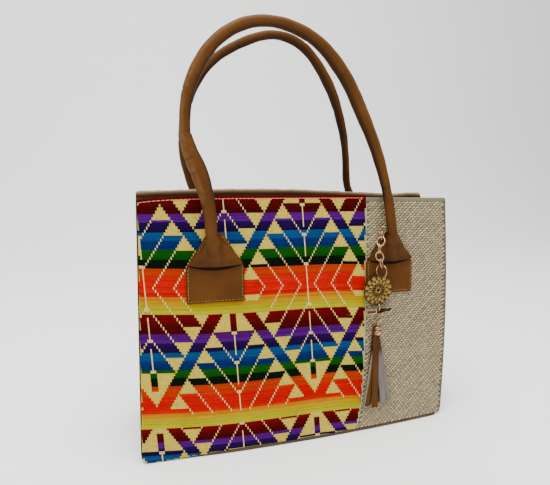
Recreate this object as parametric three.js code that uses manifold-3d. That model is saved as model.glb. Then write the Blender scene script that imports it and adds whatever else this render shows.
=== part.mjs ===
// A standing handbag of woven cloth, canvas and leather, with two rolled handles and a hanging charm.
// Millimetres, +Z up. The front faces -Y, and the origin is the middle of the base's underside.

import * as THREE from "three";
import { mergeVertices } from "three/addons/utils/BufferGeometryUtils.js";
import Module from "manifold-3d";

const wasm = await Module();
wasm.setup();

// The body.
const BASE_WIDTH = 368;
const MOUTH_WIDTH = 360;
const BASE_DEPTH = 106;
const MOUTH_DEPTH = 54;
const PANEL_TOP = 273;
const FRONT_RISE_MIDDLE = 2.6;
const FRONT_DROP_LEFT = 1.6;
const FRONT_FALL_RIGHT = 1.4;
const WEAVE_HIGHER = 2.4;
const BACK_RISE_MIDDLE = 1.9;
const BACK_DROP_RIGHT = 2.7;
const BACK_ARCH = 4.6;
const BACK_FALL_RIGHT = 4.9;
const BACK_LIFT_CORNER = 3;
const BASE_BULGE = 7;
const MOUTH_BULGE = 2;
const GAP = 0.4;
// The lower corner is rounder on the right, where the side also bows out and the base ends earlier.
const CORNER_RADIUS = { left: 9, right: 9 };
const BASE_INSET = { left: 1, right: 5 };
const RIGHT_BOW = 5;
const RIGHT_WIDER_MOUTH = 1.5;

// Walls.
const PANEL_WALL = 2.6;
const GUSSET_WALL = 2.2;
const GUSSET_INSET = 1.2;
const GUSSET_FOLD = 15;
const GUSSET_TOP_DROP = 3;
const BASE_THICKNESS = 3.4;
const WEAVE_PROUD = 0.7;
// The seam between weave and canvas swings to the right above the base.
const SEAM_X = 59.3;
const SEAM_SWING = 12.3;
const SEAM_SWING_HEIGHT = 38;
// The rows of a panel or gusset lie closer together towards the base.
const ROW_CROWDING = 1.4;

// The rolled leather binding over the back panel's top edge.
const BINDING_ROLL = 5.6;
const BINDING_INSIDE_DROP = 24;
const BINDING_OUTSIDE_DROP = 7;
const BINDING_END_DROP = 0.2;
const BINDING_END_CLEARANCE = 1;
const BINDING_LEATHER = 1.3;

// The house-shaped patches under the handle ends: middle of the patch, height of the handle's lip
// on it, side of the bag (-1 front, 1 back), and how far the handle's neck leans along x.
const PATCHES = [
  { name: "front_left", x: -103, lip: 206, face: -1, neckShift: -4.5 },
  { name: "front_right", x: 102.5, lip: 202.5, face: -1, neckShift: -1 },
  { name: "back_left", x: -103, lip: 204, face: 1, neckShift: -4 },
  { name: "back_right", x: 102, lip: 204, face: 1, neckShift: -3 },
];
const PATCH_HALF_WIDTH = 30.5;
const PATCH_DROP = 39;
const PATCH_APEX_HEIGHT = 34;
const PATCH_APEX_HALF_WIDTH = 8;
const PATCH_SHOULDER = 3;
const PATCH_THICKNESS = 2;
const PATCH_CORNER = 2.5;

// The flared end of a handle, from its lip up to its neck: height above the lip, distance of its
// middle plane from the panel, half width, and how far it swells out from and back to that plane.
const FLARE = [
  { height: -1.4, out: 3.7, halfWidth: 27.4, swell: 3.4, back: 0.7 },
  { height: 0, out: 3.7, halfWidth: 28.6, swell: 6.2, back: 0.7 },
  { height: 6, out: 3.7, halfWidth: 25, swell: 8, back: 0.7 },
  { height: 13, out: 3.8, halfWidth: 19.2, swell: 8.8, back: 0.8 },
  { height: 19, out: 4.2, halfWidth: 13.4, swell: 9.2, back: 1 },
  { height: 24.5, out: 5.6, halfWidth: 8.6, swell: 8.6, back: 2.4 },
  { height: 31, out: 9.2, halfWidth: 5.7, swell: 5.8, back: 5.2 },
];

// Centreline and width of each handle between its two necks, from left to right.
const FRONT_HANDLE = [
  { x: -109.5, y: -39.5, z: 266, width: 13.5 },
  { x: -118, y: -35, z: 300, width: 17.5 },
  { x: -127, y: -31.5, z: 323, width: 15.5 },
  { x: -131.2, y: -28, z: 345, width: 10.8 },
  { x: -125.5, y: -22.5, z: 385, width: 13 },
  { x: -101, y: -16, z: 428, width: 13 },
  { x: -68, y: -13, z: 450.5, width: 12.2 },
  { x: -32, y: -12, z: 455, width: 12 },
  { x: 9, y: -14.5, z: 440.5, width: 13.5 },
  { x: 41, y: -19, z: 407.5, width: 15 },
  { x: 65.3, y: -26, z: 361, width: 14.5 },
  { x: 80.4, y: -31, z: 326, width: 12.9 },
  { x: 93.5, y: -38, z: 279, width: 10.9 },
];
const BACK_HANDLE = [
  { x: -112, y: 39.5, z: 268, width: 11 },
  { x: -120.4, y: 36.5, z: 295, width: 11.2 },
  { x: -127, y: 33, z: 325, width: 11 },
  { x: -122, y: 27.5, z: 375, width: 10.4 },
  { x: -101.5, y: 21.5, z: 413, width: 10.2 },
  { x: -66, y: 17, z: 438, width: 10 },
  { x: -28, y: 15, z: 449.5, width: 9.8 },
  { x: 6, y: 16.5, z: 440, width: 10.6 },
  { x: 42, y: 22, z: 401, width: 12 },
  { x: 64.5, y: 28.5, z: 353, width: 10 },
  { x: 73, y: 33.5, z: 322, width: 9 },
  { x: 79.5, y: 38, z: 285, width: 9.4 },
  { x: 91, y: 41, z: 262, width: 10.5 },
];
const HANDLE_SIDES = 12;
const HANDLE_STEPS = 34;

// The charm. Its places are measured from the middle of the medallion: across, out from the panel
// and up along it.
const CHARM_X = 85;
const CHARM_Z = 169;
const WIRE = 1.3;
const LINK_LENGTH = 13.4;
const LINK_WIDTH = 10.6;
const LINK_WIRE = 1.75;
const LINK_PITCH = 8.65;
const LINK_COUNT = 5;
const CHAIN_ROUTE = [
  { across: -0.4, out: 13.3, up: 32.4 },
  { across: -3.9, out: 14.8, up: 42 },
  { across: -3.2, out: 14.2, up: 51 },
  { across: 0.4, out: 12, up: 60 },
  { across: 4.6, out: 8.8, up: 68 },
  { across: 7.8, out: 5, up: 75.5 },
];
const ANCHOR = { radius: 5, turn: 1.95, across: 3.8, out: 6.6, up: 69.9 };
const MEDALLION_RADIUS = 18.4;
const MEDALLION_LOBES = 14;
const MEDALLION_THICKNESS = 1.5;
const MEDALLION_TILT = 0.12;
const MEDALLION_OUT = 5.9;
const EYE_OFFSET = 16.2;
const EYE_RADIUS = 1.6;
const UPPER_RING = { radius: 7.5, lean: 0.5, turn: -1.22 };
const LOWER_RING = { radius: 4.6, lean: 0.42, turn: -Math.PI / 2 };
const TASSEL_RING = { radius: 7.8, across: -0.3, out: 5.3, up: -30.8 };
const TAG = {
  length: 33,
  height: 5.4,
  thickness: 1,
  frame: 0.9,
  framedLength: 13.4,
  eye: 1.5,
  out: 8,
  up: -24.3,
  rise: 0.03,
  twist: 0.8,
};
const CAP = { radius: 5.2, height: 10.4, across: -0.8, out: 5.3, up: -42.2 };
const STRIP_WIDTH = 8;
const STRIP_THICKNESS = 1.1;
// How near to each other, front to back, the strips lie at the tassel's head, and how deep in it they start.
const STRIP_GATHER = 0.16;
const STRIP_START = 1.5;
// The tassel's strips: place of head and foot across, place of the foot out from the panel, length,
// turn at the foot, and share of the width that is left at the head.
const STRIPS = [
  { head: -1.9, across: -3.5, out: 7.6, length: 85.2, turn: 0.05, pinch: 1 },
  { head: -3.4, across: -12, out: 5.8, length: 83, turn: 0.2, pinch: 0.9 },
  { head: 0.4, across: 9.3, out: 4.8, length: 83.6, turn: -0.1, pinch: 0.6 },
  { head: 0.8, across: 16.6, out: 3.6, length: 82.4, turn: -0.45, pinch: 0.55 },
  { head: -2.2, across: -15.8, out: 4.9, length: 85, turn: 0.9, pinch: 0.5 },
  { head: -0.6, across: -5.8, out: 2, length: 83.4, turn: 0.05, pinch: 0.6 },
  { head: 0.2, across: 2, out: 1.8, length: 82, turn: 0, pinch: 0.8 },
];

// Materials, one for each finish.
const finish = (color, roughness, metalness) =>
  new THREE.MeshStandardMaterial({ color, roughness, metalness });
const weaveCloth = () => finish(0xa8402c, 0.85, 0);
const canvas = () => finish(0xb9ab90, 0.9, 0);
const leather = () => finish(0x7c4c22, 0.55, 0);
const paleGold = () => finish(0xcfa27e, 0.3, 1);
const oldGold = () => finish(0x9c8a4c, 0.4, 1);
const suede = () => finish(0x8a5a2c, 0.7, 0);

const lerp = THREE.MathUtils.lerp;
const smoothstep = THREE.MathUtils.smoothstep;
const span = (count, place) => Array.from({ length: count + 1 }, (_, i) => place(i / count));

// Distance of the body's left (-1) or right (1) side from the middle at a height.
function halfWidthAt(z, side) {
  const share = z / PANEL_TOP;
  const radius = side < 0 ? CORNER_RADIUS.left : CORNER_RADIUS.right;
  const below = Math.max(0, radius - z);
  const bow = side < 0 ? 0 : RIGHT_WIDER_MOUTH * share + RIGHT_BOW * Math.sin(Math.PI * share);
  return lerp(BASE_WIDTH, MOUTH_WIDTH, share) / 2 + bow - radius + Math.sqrt(radius ** 2 - below ** 2);
}

// The seam's place along x at a height.
function seamAt(z) {
  return SEAM_X + SEAM_SWING * (1 - Math.exp(-z / SEAM_SWING_HEIGHT));
}

// Distance of a panel's face from the middle plane: it tapers to the mouth and bulges softly.
function panelDepth(x, z) {
  const share = z / PANEL_TOP;
  const plain = lerp(BASE_DEPTH, MOUTH_DEPTH, share) / 2;
  const bulge = lerp(BASE_BULGE, MOUTH_BULGE, share);
  return plain + bulge * (1 - (x / (BASE_WIDTH / 2)) ** 2);
}

// Height of the front panel's top edge, which stands a little higher in the middle.
function frontTop(x) {
  const side = x / (MOUTH_WIDTH / 2);
  const leftFall = FRONT_DROP_LEFT * side ** 6;
  return PANEL_TOP + FRONT_RISE_MIDDLE - (side < 0 ? leftFall : FRONT_FALL_RIGHT * side ** 2);
}

// Height of the weave's top edge, whose turned hem stands over the canvas.
function weaveTop(x) {
  const side = Math.min(0, x / (MOUTH_WIDTH / 2));
  return frontTop(x) + WEAVE_HIGHER * (1 - side ** 6);
}

// Height of the back panel's top edge: arched on the left, falling to the right and lifted again there.
function backTop(x) {
  const side = x / (MOUTH_WIDTH / 2);
  const right = Math.max(0, side);
  const leftFall = BACK_ARCH * Math.min(0, side) ** 2;
  const rightFall = (BACK_FALL_RIGHT * right ** 2) / (right + 0.06);
  const lift = BACK_LIFT_CORNER * smoothstep(right, 0.75, 0.95);
  return PANEL_TOP + BACK_RISE_MIDDLE - BACK_DROP_RIGHT * side - leftFall - rightFall + lift;
}

// A geometry with its faces pointing out, from points and triangles.
function solidGeometry(points, triangles) {
  const normal = new THREE.Vector3();
  let volume = 0;
  for (const [i, j, k] of triangles) {
    volume += normal.crossVectors(points[i], points[j]).dot(points[k]);
  }
  const outward = volume < 0 ? triangles.map(([i, j, k]) => [i, k, j]) : triangles;
  const geometry = new THREE.BufferGeometry().setFromPoints(points);
  geometry.setIndex(outward.flat());
  geometry.computeVertexNormals();
  return geometry;
}

// Triangles that close a flat outline, in the outline's own order.
function flatCap(outline) {
  const triangles = THREE.ShapeUtils.triangulateShape(outline, []);
  return THREE.ShapeUtils.isClockWise(outline) ? triangles.map(([i, j, k]) => [i, k, j]) : triangles;
}

// Triangles that close a sheet's edge, whose ring runs along one face and back along the other.
function stripCap(columns) {
  const far = 2 * columns;
  const triangles = [];
  for (let i = 0; i < columns; i++) triangles.push([i, i + 1, far - i], [i, far - i, far + 1 - i]);
  return triangles;
}

// A closed solid through rings of points, with the same cap at both ends.
function loft(rings, cap) {
  const sides = rings[0].length;
  const last = (rings.length - 1) * sides;
  const triangles = [];
  for (let r = 0; r + 1 < rings.length; r++) {
    for (let s = 0; s < sides; s++) {
      const a = r * sides + s;
      const b = r * sides + ((s + 1) % sides);
      triangles.push([a, b, b + sides], [a, b + sides, a + sides]);
    }
  }
  for (const [i, j, k] of cap) triangles.push([i, k, j], [last + i, last + j, last + k]);
  return solidGeometry(rings.flat(), triangles);
}

// A sheet with thickness: place(u, v, inner) gives a point of its outer or inner face.
function wall(columns, rows, place) {
  const rings = span(rows, (v) => [
    ...span(columns, (u) => place(u, v, false)),
    ...span(columns, (u) => place(1 - u, v, true)),
  ]);
  return loft(rings, stripCap(columns));
}

// A front or back panel between two sides, which are functions of the height.
function panel({ left, right, top, face, proud, columns, rows }) {
  const low = BASE_THICKNESS + GAP;
  return wall(columns, rows, (u, v, inner) => {
    const level = lerp(low, PANEL_TOP, v ** ROW_CROWDING);
    const x = lerp(left(level), right(level), u);
    const z = lerp(low, top(x), v ** ROW_CROWDING);
    const depth = panelDepth(x, z) + (inner ? -PANEL_WALL : proud);
    return new THREE.Vector3(x, face * depth, z);
  });
}

// A side gusset between the panels, folding inward along its middle towards the mouth.
function gusset(side) {
  const columns = 8;
  const rows = 9;
  return wall(columns, rows, (u, v, inner) => {
    const corner = (side * MOUTH_WIDTH) / 2;
    const top = lerp(frontTop(corner), backTop(corner), u) - GUSSET_TOP_DROP;
    const z = lerp(BASE_THICKNESS + GAP, top, v ** ROW_CROWDING);
    const edge = halfWidthAt(z, side) - GUSSET_INSET;
    const across = 2 * u - 1;
    const fold = GUSSET_FOLD * v ** 2 * (1 - Math.abs(across)) ** 1.2;
    const reach = panelDepth(edge, z) - PANEL_WALL - GAP;
    const x = edge - fold - (inner ? GUSSET_WALL : 0);
    return new THREE.Vector3(side * x, across * reach, z);
  });
}

// The base: a leather-covered board with the footprint's bulged outline and round corners.
function base() {
  const steps = 12;
  const { left, right } = CORNER_RADIUS;
  const leftRun = BASE_WIDTH / 2 - left - BASE_INSET.left;
  const rightRun = BASE_WIDTH / 2 - right - BASE_INSET.right;
  const edgeAt = (x) => panelDepth(x, 0) + GAP;
  const leftY = edgeAt(leftRun) - left;
  const rightY = edgeAt(rightRun) - right;
  const shape = new THREE.Shape();
  shape.moveTo(-leftRun, -edgeAt(leftRun));
  for (let i = 1; i <= steps; i++) {
    const x = lerp(-leftRun, rightRun, i / steps);
    shape.lineTo(x, -edgeAt(x));
  }
  shape.absarc(rightRun, -rightY, right, -Math.PI / 2, 0);
  shape.absarc(rightRun, rightY, right, 0, Math.PI / 2);
  for (let i = 1; i <= steps; i++) {
    const x = lerp(rightRun, -leftRun, i / steps);
    shape.lineTo(x, edgeAt(x));
  }
  shape.absarc(-leftRun, leftY, left, Math.PI / 2, Math.PI);
  shape.absarc(-leftRun, -leftY, left, Math.PI, 1.5 * Math.PI);
  const board = { depth: BASE_THICKNESS, bevelEnabled: false, curveSegments: 5 };
  return new THREE.ExtrudeGeometry(shape, board);
}

// The binding's section: out from the back panel's face, and up from its top edge.
function bindingSection(insideDrop) {
  const outside = GAP + BINDING_LEATHER;
  const inside = -PANEL_WALL - GAP - BINDING_LEATHER;
  const middle = (outside + inside) / 2;
  const radius = (outside - inside) / 2;
  const roll = [1, 2, 3, 4].map((i) => {
    const angle = (Math.PI * i) / 5;
    return [middle + radius * Math.cos(angle), BINDING_ROLL * Math.sin(angle)];
  });
  return [
    [outside, -BINDING_OUTSIDE_DROP],
    [outside, 0],
    ...roll,
    [inside, 0],
    [inside, -insideDrop],
    [inside + BINDING_LEATHER, -insideDrop],
    [inside + BINDING_LEATHER, GAP],
    [outside - BINDING_LEATHER, GAP],
    [outside - BINDING_LEATHER, -BINDING_OUTSIDE_DROP],
  ].map(([out, up]) => new THREE.Vector2(out, up));
}

// The binding follows the back panel's top edge from side to side, and its facing ends at the gussets.
function binding() {
  const half = MOUTH_WIDTH / 2;
  const facingHalf = half - GUSSET_INSET - GUSSET_WALL - BINDING_END_CLEARANCE;
  const steps = 26;
  const facing = span(steps, (t) => ({
    x: lerp(-facingHalf, facingHalf, t),
    insideDrop: BINDING_INSIDE_DROP,
  }));
  const step = facingHalf + BINDING_END_CLEARANCE / 2;
  const ends = [half, step].map((x) => ({ x, insideDrop: BINDING_END_DROP }));
  const leftEnds = ends.map((row) => ({ ...row, x: -row.x }));
  const rings = [...leftEnds, ...facing, ...ends.toReversed()].map(({ x, insideDrop }) =>
    bindingSection(insideDrop).map((p) => {
      const z = backTop(x) + p.y;
      return new THREE.Vector3(x, panelDepth(x, z) + p.x, z);
    }),
  );
  return loft(rings, flatCap(bindingSection(ends[0].insideDrop)));
}

// A place on a panel: its point, and the directions across, out from and up along the panel.
function panelPlace(x, z, face) {
  const step = 0.5;
  const proud = face < 0 && x < SEAM_X ? WEAVE_PROUD : 0;
  const at = (px, pz) => new THREE.Vector3(px, face * (panelDepth(px, pz) + proud), pz);
  const across = at(x + step, z).sub(at(x - step, z)).normalize();
  const slope = at(x, z + step).sub(at(x, z - step));
  const up = slope.addScaledVector(across, -slope.dot(across)).normalize();
  const out = new THREE.Vector3().crossVectors(up, across).multiplyScalar(face);
  return { point: at(x, z), across, out, up };
}

// A group at a place on a panel, with its own x, y and z running across, inward and up there.
function panelGroup(place) {
  const group = new THREE.Group();
  const inward = place.out.clone().negate();
  const across = new THREE.Vector3().crossVectors(inward, place.up);
  group.quaternion.setFromRotationMatrix(new THREE.Matrix4().makeBasis(across, inward, place.up));
  group.position.copy(place.point);
  return group;
}

// The sewn patch: a rectangle with a tapered top, lying on the panel.
function patch() {
  const w = PATCH_HALF_WIDTH;
  const c = PATCH_CORNER;
  const s = PATCH_SHOULDER;
  const shape = new THREE.Shape();
  shape.moveTo(-w + c, -PATCH_DROP);
  shape.lineTo(w - c, -PATCH_DROP);
  shape.absarc(w - c, c - PATCH_DROP, c, -Math.PI / 2, 0);
  shape.lineTo(w, -2 * s);
  shape.quadraticCurveTo(w, 0, w - s, s);
  shape.lineTo(PATCH_APEX_HALF_WIDTH, PATCH_APEX_HEIGHT);
  shape.lineTo(-PATCH_APEX_HALF_WIDTH, PATCH_APEX_HEIGHT);
  shape.lineTo(s - w, s);
  shape.quadraticCurveTo(-w, 0, -w, -2 * s);
  shape.lineTo(-w, c - PATCH_DROP);
  shape.absarc(c - w, c - PATCH_DROP, c, Math.PI, 1.5 * Math.PI);
  const hide = { depth: PATCH_THICKNESS, bevelEnabled: false, curveSegments: 4 };
  return new THREE.ExtrudeGeometry(shape, hide).rotateX(Math.PI / 2).translate(0, -GAP, 0);
}

// One section of a handle in its own side and out directions.
function handleOutline({ halfWidth, swell, back }) {
  return Array.from({ length: HANDLE_SIDES }, (_, i) => {
    const angle = (2 * Math.PI * (i + 0.5)) / HANDLE_SIDES;
    const rise = Math.sin(angle);
    return new THREE.Vector2(halfWidth * Math.cos(angle), rise * (rise > 0 ? swell : back));
  });
}

// The sections of one flared end, on its patch.
function flaredEnd({ place, neckShift }) {
  const top = FLARE.at(-1).height;
  return FLARE.map((row) => ({
    ...row,
    outward: place.out,
    centre: place.point
      .clone()
      .addScaledVector(place.across, neckShift * Math.max(0, row.height / top) ** 2)
      .addScaledVector(place.out, row.out)
      .addScaledVector(place.up, row.height),
  }));
}

// The round sections between the two necks, evenly spaced along the rows' smooth curve.
function handleTube(rows, leftNeck, rightNeck, face) {
  const points = [leftNeck.centre, ...rows.map((r) => new THREE.Vector3(r.x, r.y, r.z)), rightNeck.centre];
  const widths = [2 * leftNeck.halfWidth, ...rows.map((r) => r.width), 2 * rightNeck.halfWidth];
  const curve = new THREE.CatmullRomCurve3(points, false, "centripetal");
  return span(HANDLE_STEPS, (share) => {
    const t = curve.getUtoTmapping(share);
    const row = Math.min(Math.floor(t * (widths.length - 1)), widths.length - 2);
    const between = smoothstep(t * (widths.length - 1) - row, 0, 1);
    const half = lerp(widths[row], widths[row + 1], between) / 2;
    const outward = new THREE.Vector3(0, face, 0);
    return { centre: curve.getPoint(t), outward, halfWidth: half, swell: half, back: half };
  }).slice(1, -1);
}

// A rolled handle with its two flared ends, from the left lip over the top to the right lip.
function handle(rows, leftPatch, rightPatch) {
  const rising = flaredEnd(leftPatch);
  const falling = flaredEnd(rightPatch).toReversed();
  const sections = [
    ...rising,
    ...handleTube(rows, rising.at(-1), falling[0], leftPatch.face),
    ...falling,
  ];
  const rings = sections.map((section, i) => {
    const before = sections[Math.max(i - 1, 0)].centre;
    const after = sections[Math.min(i + 1, sections.length - 1)].centre;
    const along = after.clone().sub(before).normalize();
    const outward = section.outward.clone();
    const out = outward.addScaledVector(along, -along.dot(outward)).normalize();
    const side = new THREE.Vector3().crossVectors(along, out);
    return handleOutline(section).map((p) =>
      section.centre.clone().addScaledVector(side, p.x).addScaledVector(out, p.y),
    );
  });
  return loft(rings, flatCap(handleOutline(FLARE[0])));
}

// Joins closed geometries into one body, and cuts others from it.
function toSolid(geometry) {
  const bare = geometry.clone();
  bare.deleteAttribute("normal");
  bare.deleteAttribute("uv");
  const merged = mergeVertices(bare, 1e-4);
  const vertProperties = new Float32Array(merged.attributes.position.array);
  const triVerts = new Uint32Array(merged.index.array);
  return new wasm.Manifold(new wasm.Mesh({ numProp: 3, vertProperties, triVerts }));
}

function fuse(pieces, cuts = []) {
  const joined = pieces.map(toSolid).reduce((a, b) => a.add(b));
  const mesh = cuts.map(toSolid).reduce((a, b) => a.subtract(b), joined).getMesh();
  const geometry = new THREE.BufferGeometry();
  geometry.setAttribute("position", new THREE.BufferAttribute(mesh.vertProperties, 3));
  geometry.setIndex(new THREE.BufferAttribute(mesh.triVerts, 1));
  geometry.computeVertexNormals();
  return geometry;
}

// A round wire ring that faces out from the panel, or one that stands edge-on to it.
const facingRing = (radius) => new THREE.TorusGeometry(radius, WIRE / 2, 6, 14).rotateX(Math.PI / 2);
const edgeRing = (radius) => new THREE.TorusGeometry(radius, WIRE / 2, 6, 14).rotateY(Math.PI / 2);

// One oval chain link, facing out, longer upwards.
function chainLink() {
  const round = (LINK_WIDTH - LINK_WIRE) / 2;
  const tall = (LINK_LENGTH - LINK_WIRE) / (LINK_WIDTH - LINK_WIRE);
  return new THREE.TorusGeometry(round, LINK_WIRE / 2, 6, 12).scale(1, tall, 1).rotateX(Math.PI / 2);
}

// Edge radius of the medallion: scalloped, with an ear at the top and at the bottom.
function medallionEdge(angle) {
  const scallop = 1.1 * (1 - Math.abs(Math.cos((MEDALLION_LOBES * angle) / 2)));
  const ear = 0.8 * Math.exp(-((Math.sin(angle) / 0.16) ** 2));
  return MEDALLION_RADIUS - scallop + ear;
}

// The medallion: a scalloped disc pierced by two rings of openings, with raised beads and boss.
function medallion() {
  const ringOfHoles = { radius: 12, hole: 0.8 };
  const ringOfSlots = { inner: 4.6, outer: 8.2, innerHalf: 0.4, outerHalf: 0.8 };
  const ringOfBeads = { radius: 15.3, bead: 1.9 };
  const polar = (radius, angle) => new THREE.Vector2(-radius * Math.sin(angle), radius * Math.cos(angle));
  const edgeSteps = 5 * MEDALLION_LOBES;
  const edge = Array.from({ length: edgeSteps }, (_, i) => {
    const angle = (2 * Math.PI * i) / edgeSteps;
    return polar(medallionEdge(angle), angle);
  });
  const outline = new THREE.Shape(edge);
  const pierce = (middle, radius) => {
    const round = Array.from({ length: 8 }, (_, i) => polar(radius, (Math.PI * i) / 4).add(middle));
    outline.holes.push(new THREE.Path(round));
  };
  pierce(polar(0, 0), 1.5);
  pierce(polar(EYE_OFFSET, 0), EYE_RADIUS);
  pierce(polar(EYE_OFFSET, Math.PI), EYE_RADIUS);
  const beads = [];
  for (let i = 0; i < MEDALLION_LOBES; i++) {
    const onLobe = (2 * Math.PI * i) / MEDALLION_LOBES;
    const between = onLobe + Math.PI / MEDALLION_LOBES;
    pierce(polar(ringOfHoles.radius, between), ringOfHoles.hole);
    const { inner, outer, innerHalf, outerHalf } = ringOfSlots;
    const corners = [
      polar(inner, between - innerHalf / inner),
      polar(outer, between - outerHalf / outer),
      polar(outer, between + outerHalf / outer),
      polar(inner, between + innerHalf / inner),
    ];
    outline.holes.push(new THREE.Path(corners));
    if (i % (MEDALLION_LOBES / 2) !== 0) {
      const at = polar(ringOfBeads.radius, onLobe);
      const bead = new THREE.SphereGeometry(ringOfBeads.bead, 8, 5).scale(1, 0.75, 1);
      beads.push(bead.translate(at.x, -MEDALLION_THICKNESS / 2, at.y));
    }
  }
  const sheet = { depth: MEDALLION_THICKNESS, bevelEnabled: false, curveSegments: 4 };
  const plate = new THREE.ExtrudeGeometry(outline, sheet).rotateX(Math.PI / 2);
  plate.translate(0, MEDALLION_THICKNESS / 2, 0);
  const boss = facingRing(2.9).translate(0, -MEDALLION_THICKNESS / 2, 0);
  return fuse([plate, boss, ...beads]);
}

// The tag: a bare plate with a raised frame on its left half, twisting edge-on along its right half.
function tag() {
  const { length, height, thickness, frame, framedLength, eye, twist } = TAG;
  const steps = 12;
  const section = [
    [-thickness / 2, -height / 2],
    [-thickness / 2, height / 2],
    [thickness / 2, height / 2],
    [thickness / 2, -height / 2],
  ].map(([y, z]) => new THREE.Vector2(y, z));
  const middle = new THREE.Vector2();
  const rings = span(steps, (share) => {
    const turn = twist * smoothstep(share, 0.56, 0.8);
    return section.map((p) => {
      const turned = p.clone().rotateAround(middle, turn);
      return new THREE.Vector3((share - 0.5) * length, turned.x, turned.y);
    });
  });
  const framed = { left: -length / 2, right: framedLength - length / 2, low: -height / 2, high: height / 2 };
  const rectangle = (inset) => [
    new THREE.Vector2(framed.left + inset, framed.low + inset),
    new THREE.Vector2(framed.right - inset, framed.low + inset),
    new THREE.Vector2(framed.right - inset, framed.high - inset),
    new THREE.Vector2(framed.left + inset, framed.high - inset),
  ];
  const rim = new THREE.Shape(rectangle(0));
  rim.holes.push(new THREE.Path(rectangle(frame)));
  const raised = new THREE.ExtrudeGeometry(rim, { depth: thickness, bevelEnabled: false });
  raised.rotateX(Math.PI / 2);
  const hole = new THREE.CylinderGeometry(eye, eye, 4 * thickness, 10);
  return fuse([loft(rings, flatCap(section)), raised], [hole]);
}

// The tassel's metal cap: a wire eye above a rounded bead and a bell, with a groove between them.
function tasselCap() {
  const eyeRadius = 2.7;
  const profile = [
    [0, -CAP.height],
    [CAP.radius, -CAP.height],
    [CAP.radius, -6.6],
    [CAP.radius - 0.4, -5.5],
    [CAP.radius - 1.2, -4.9],
    [CAP.radius - 0.8, -4.2],
    [CAP.radius - 0.6, -2.9],
    [CAP.radius - 1.2, -1.4],
    [2, -0.3],
    [0, 0],
  ].map(([r, z]) => new THREE.Vector2(r, z));
  const bell = new THREE.LatheGeometry(profile, 14).rotateX(Math.PI / 2);
  return fuse([bell, edgeRing(eyeRadius).translate(0, 0, eyeRadius - 0.3)]);
}

// The tassel: flat leather strips that hang and spread from a round head under the cap.
function tassel() {
  const steps = 6;
  const headDepth = 5;
  const head = new THREE.CylinderGeometry(CAP.radius - 0.5, CAP.radius - 0.9, headDepth, 14);
  head.rotateX(Math.PI / 2).translate(0, 0, -headDepth / 2);
  const corners = [
    [-1, -1],
    [1, -1],
    [1, 1],
    [-1, 1],
  ];
  const strips = STRIPS.map((strip) => {
    const inward = CAP.out - strip.out;
    const rings = span(steps, (share) => {
      const x = lerp(strip.head, strip.across, share ** 1.2) - CAP.across;
      const y = inward * lerp(STRIP_GATHER, 1, share ** 1.2);
      const half = (STRIP_WIDTH / 2) * lerp(strip.pinch, 1, Math.min(1, share * 2));
      const turn = strip.turn * share;
      return corners.map(([side, face]) => {
        const flat = new THREE.Vector2(side * half, (face * STRIP_THICKNESS) / 2);
        const turned = flat.rotateAround(new THREE.Vector2(), turn);
        const drop = -STRIP_START - share * strip.length;
        return new THREE.Vector3(x + turned.x, y + turned.y, drop);
      });
    });
    return loft(rings, flatCap(corners.map(([x, y]) => new THREE.Vector2(x, y))));
  });
  return fuse([head, ...strips]);
}

const bag = new THREE.Group();
bag.name = "woven_bag";

function addPiece(parent, name, geometry, material) {
  const mesh = new THREE.Mesh(geometry, material);
  mesh.name = name;
  parent.add(mesh);
  return mesh;
}

// The body: front of weave and canvas, plain back, gussets, base and the back's binding.
const leftEdge = (z) => -halfWidthAt(z, -1);
const rightEdge = (z) => halfWidthAt(z, 1);
const front = { face: -1, rows: 11 };
const toSeam = (z) => seamAt(z) - GAP / 2;
const fromSeam = (z) => seamAt(z) + GAP / 2;
const weaveFront = { ...front, top: weaveTop, left: leftEdge, right: toSeam, proud: WEAVE_PROUD, columns: 12 };
const canvasFront = { ...front, top: frontTop, left: fromSeam, right: rightEdge, proud: 0, columns: 6 };
const back = { left: leftEdge, right: rightEdge, top: backTop, face: 1, proud: 0, columns: 28, rows: 11 };
addPiece(bag, "front_weave", panel(weaveFront), weaveCloth());
addPiece(bag, "front_canvas", panel(canvasFront), canvas());
addPiece(bag, "back_canvas", panel(back), canvas());
addPiece(bag, "gusset_left", gusset(-1), leather());
addPiece(bag, "gusset_right", gusset(1), leather());
addPiece(bag, "base", base(), leather());
addPiece(bag, "back_binding", binding(), leather());

// The handles and their patches.
const ends = {};
for (const row of PATCHES) {
  const place = panelPlace(row.x, row.lip, row.face);
  ends[row.name] = { ...row, place };
  const group = panelGroup(place);
  addPiece(group, `patch_${row.name}`, patch(), leather());
  bag.add(group);
}
addPiece(bag, "handle_front", handle(FRONT_HANDLE, ends.front_left, ends.front_right), leather());
addPiece(bag, "handle_back", handle(BACK_HANDLE, ends.back_left, ends.back_right), leather());

// The charm hangs against the front from a plain loop beside the right neck of the front handle.
const charm = panelGroup(panelPlace(CHARM_X, CHARM_Z, -1));
bag.add(charm);
const inCharm = ({ across = 0, out, up }) => new THREE.Vector3(across, -out, up);
const loop = addPiece(charm, "charm_loop", facingRing(ANCHOR.radius), paleGold());
loop.position.copy(inCharm(ANCHOR));
loop.rotation.z = ANCHOR.turn;

const chainRoute = new THREE.CatmullRomCurve3(CHAIN_ROUTE.map(inCharm));
const upright = new THREE.Vector3(0, 0, 1);
for (let i = 0; i < LINK_COUNT; i++) {
  const share = (i * LINK_PITCH) / chainRoute.getLength();
  const link = addPiece(charm, `chain_link_${LINK_COUNT - i}`, chainLink(), paleGold());
  link.position.copy(chainRoute.getPointAt(share));
  link.quaternion.setFromUnitVectors(upright, chainRoute.getTangentAt(share));
  link.rotateZ((i % 2 === 0 ? Math.PI : -Math.PI) / 4);
}

const disc = addPiece(charm, "medallion", medallion(), oldGold());
disc.position.copy(inCharm({ out: MEDALLION_OUT, up: 0 }));
disc.rotation.x = MEDALLION_TILT;

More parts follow.
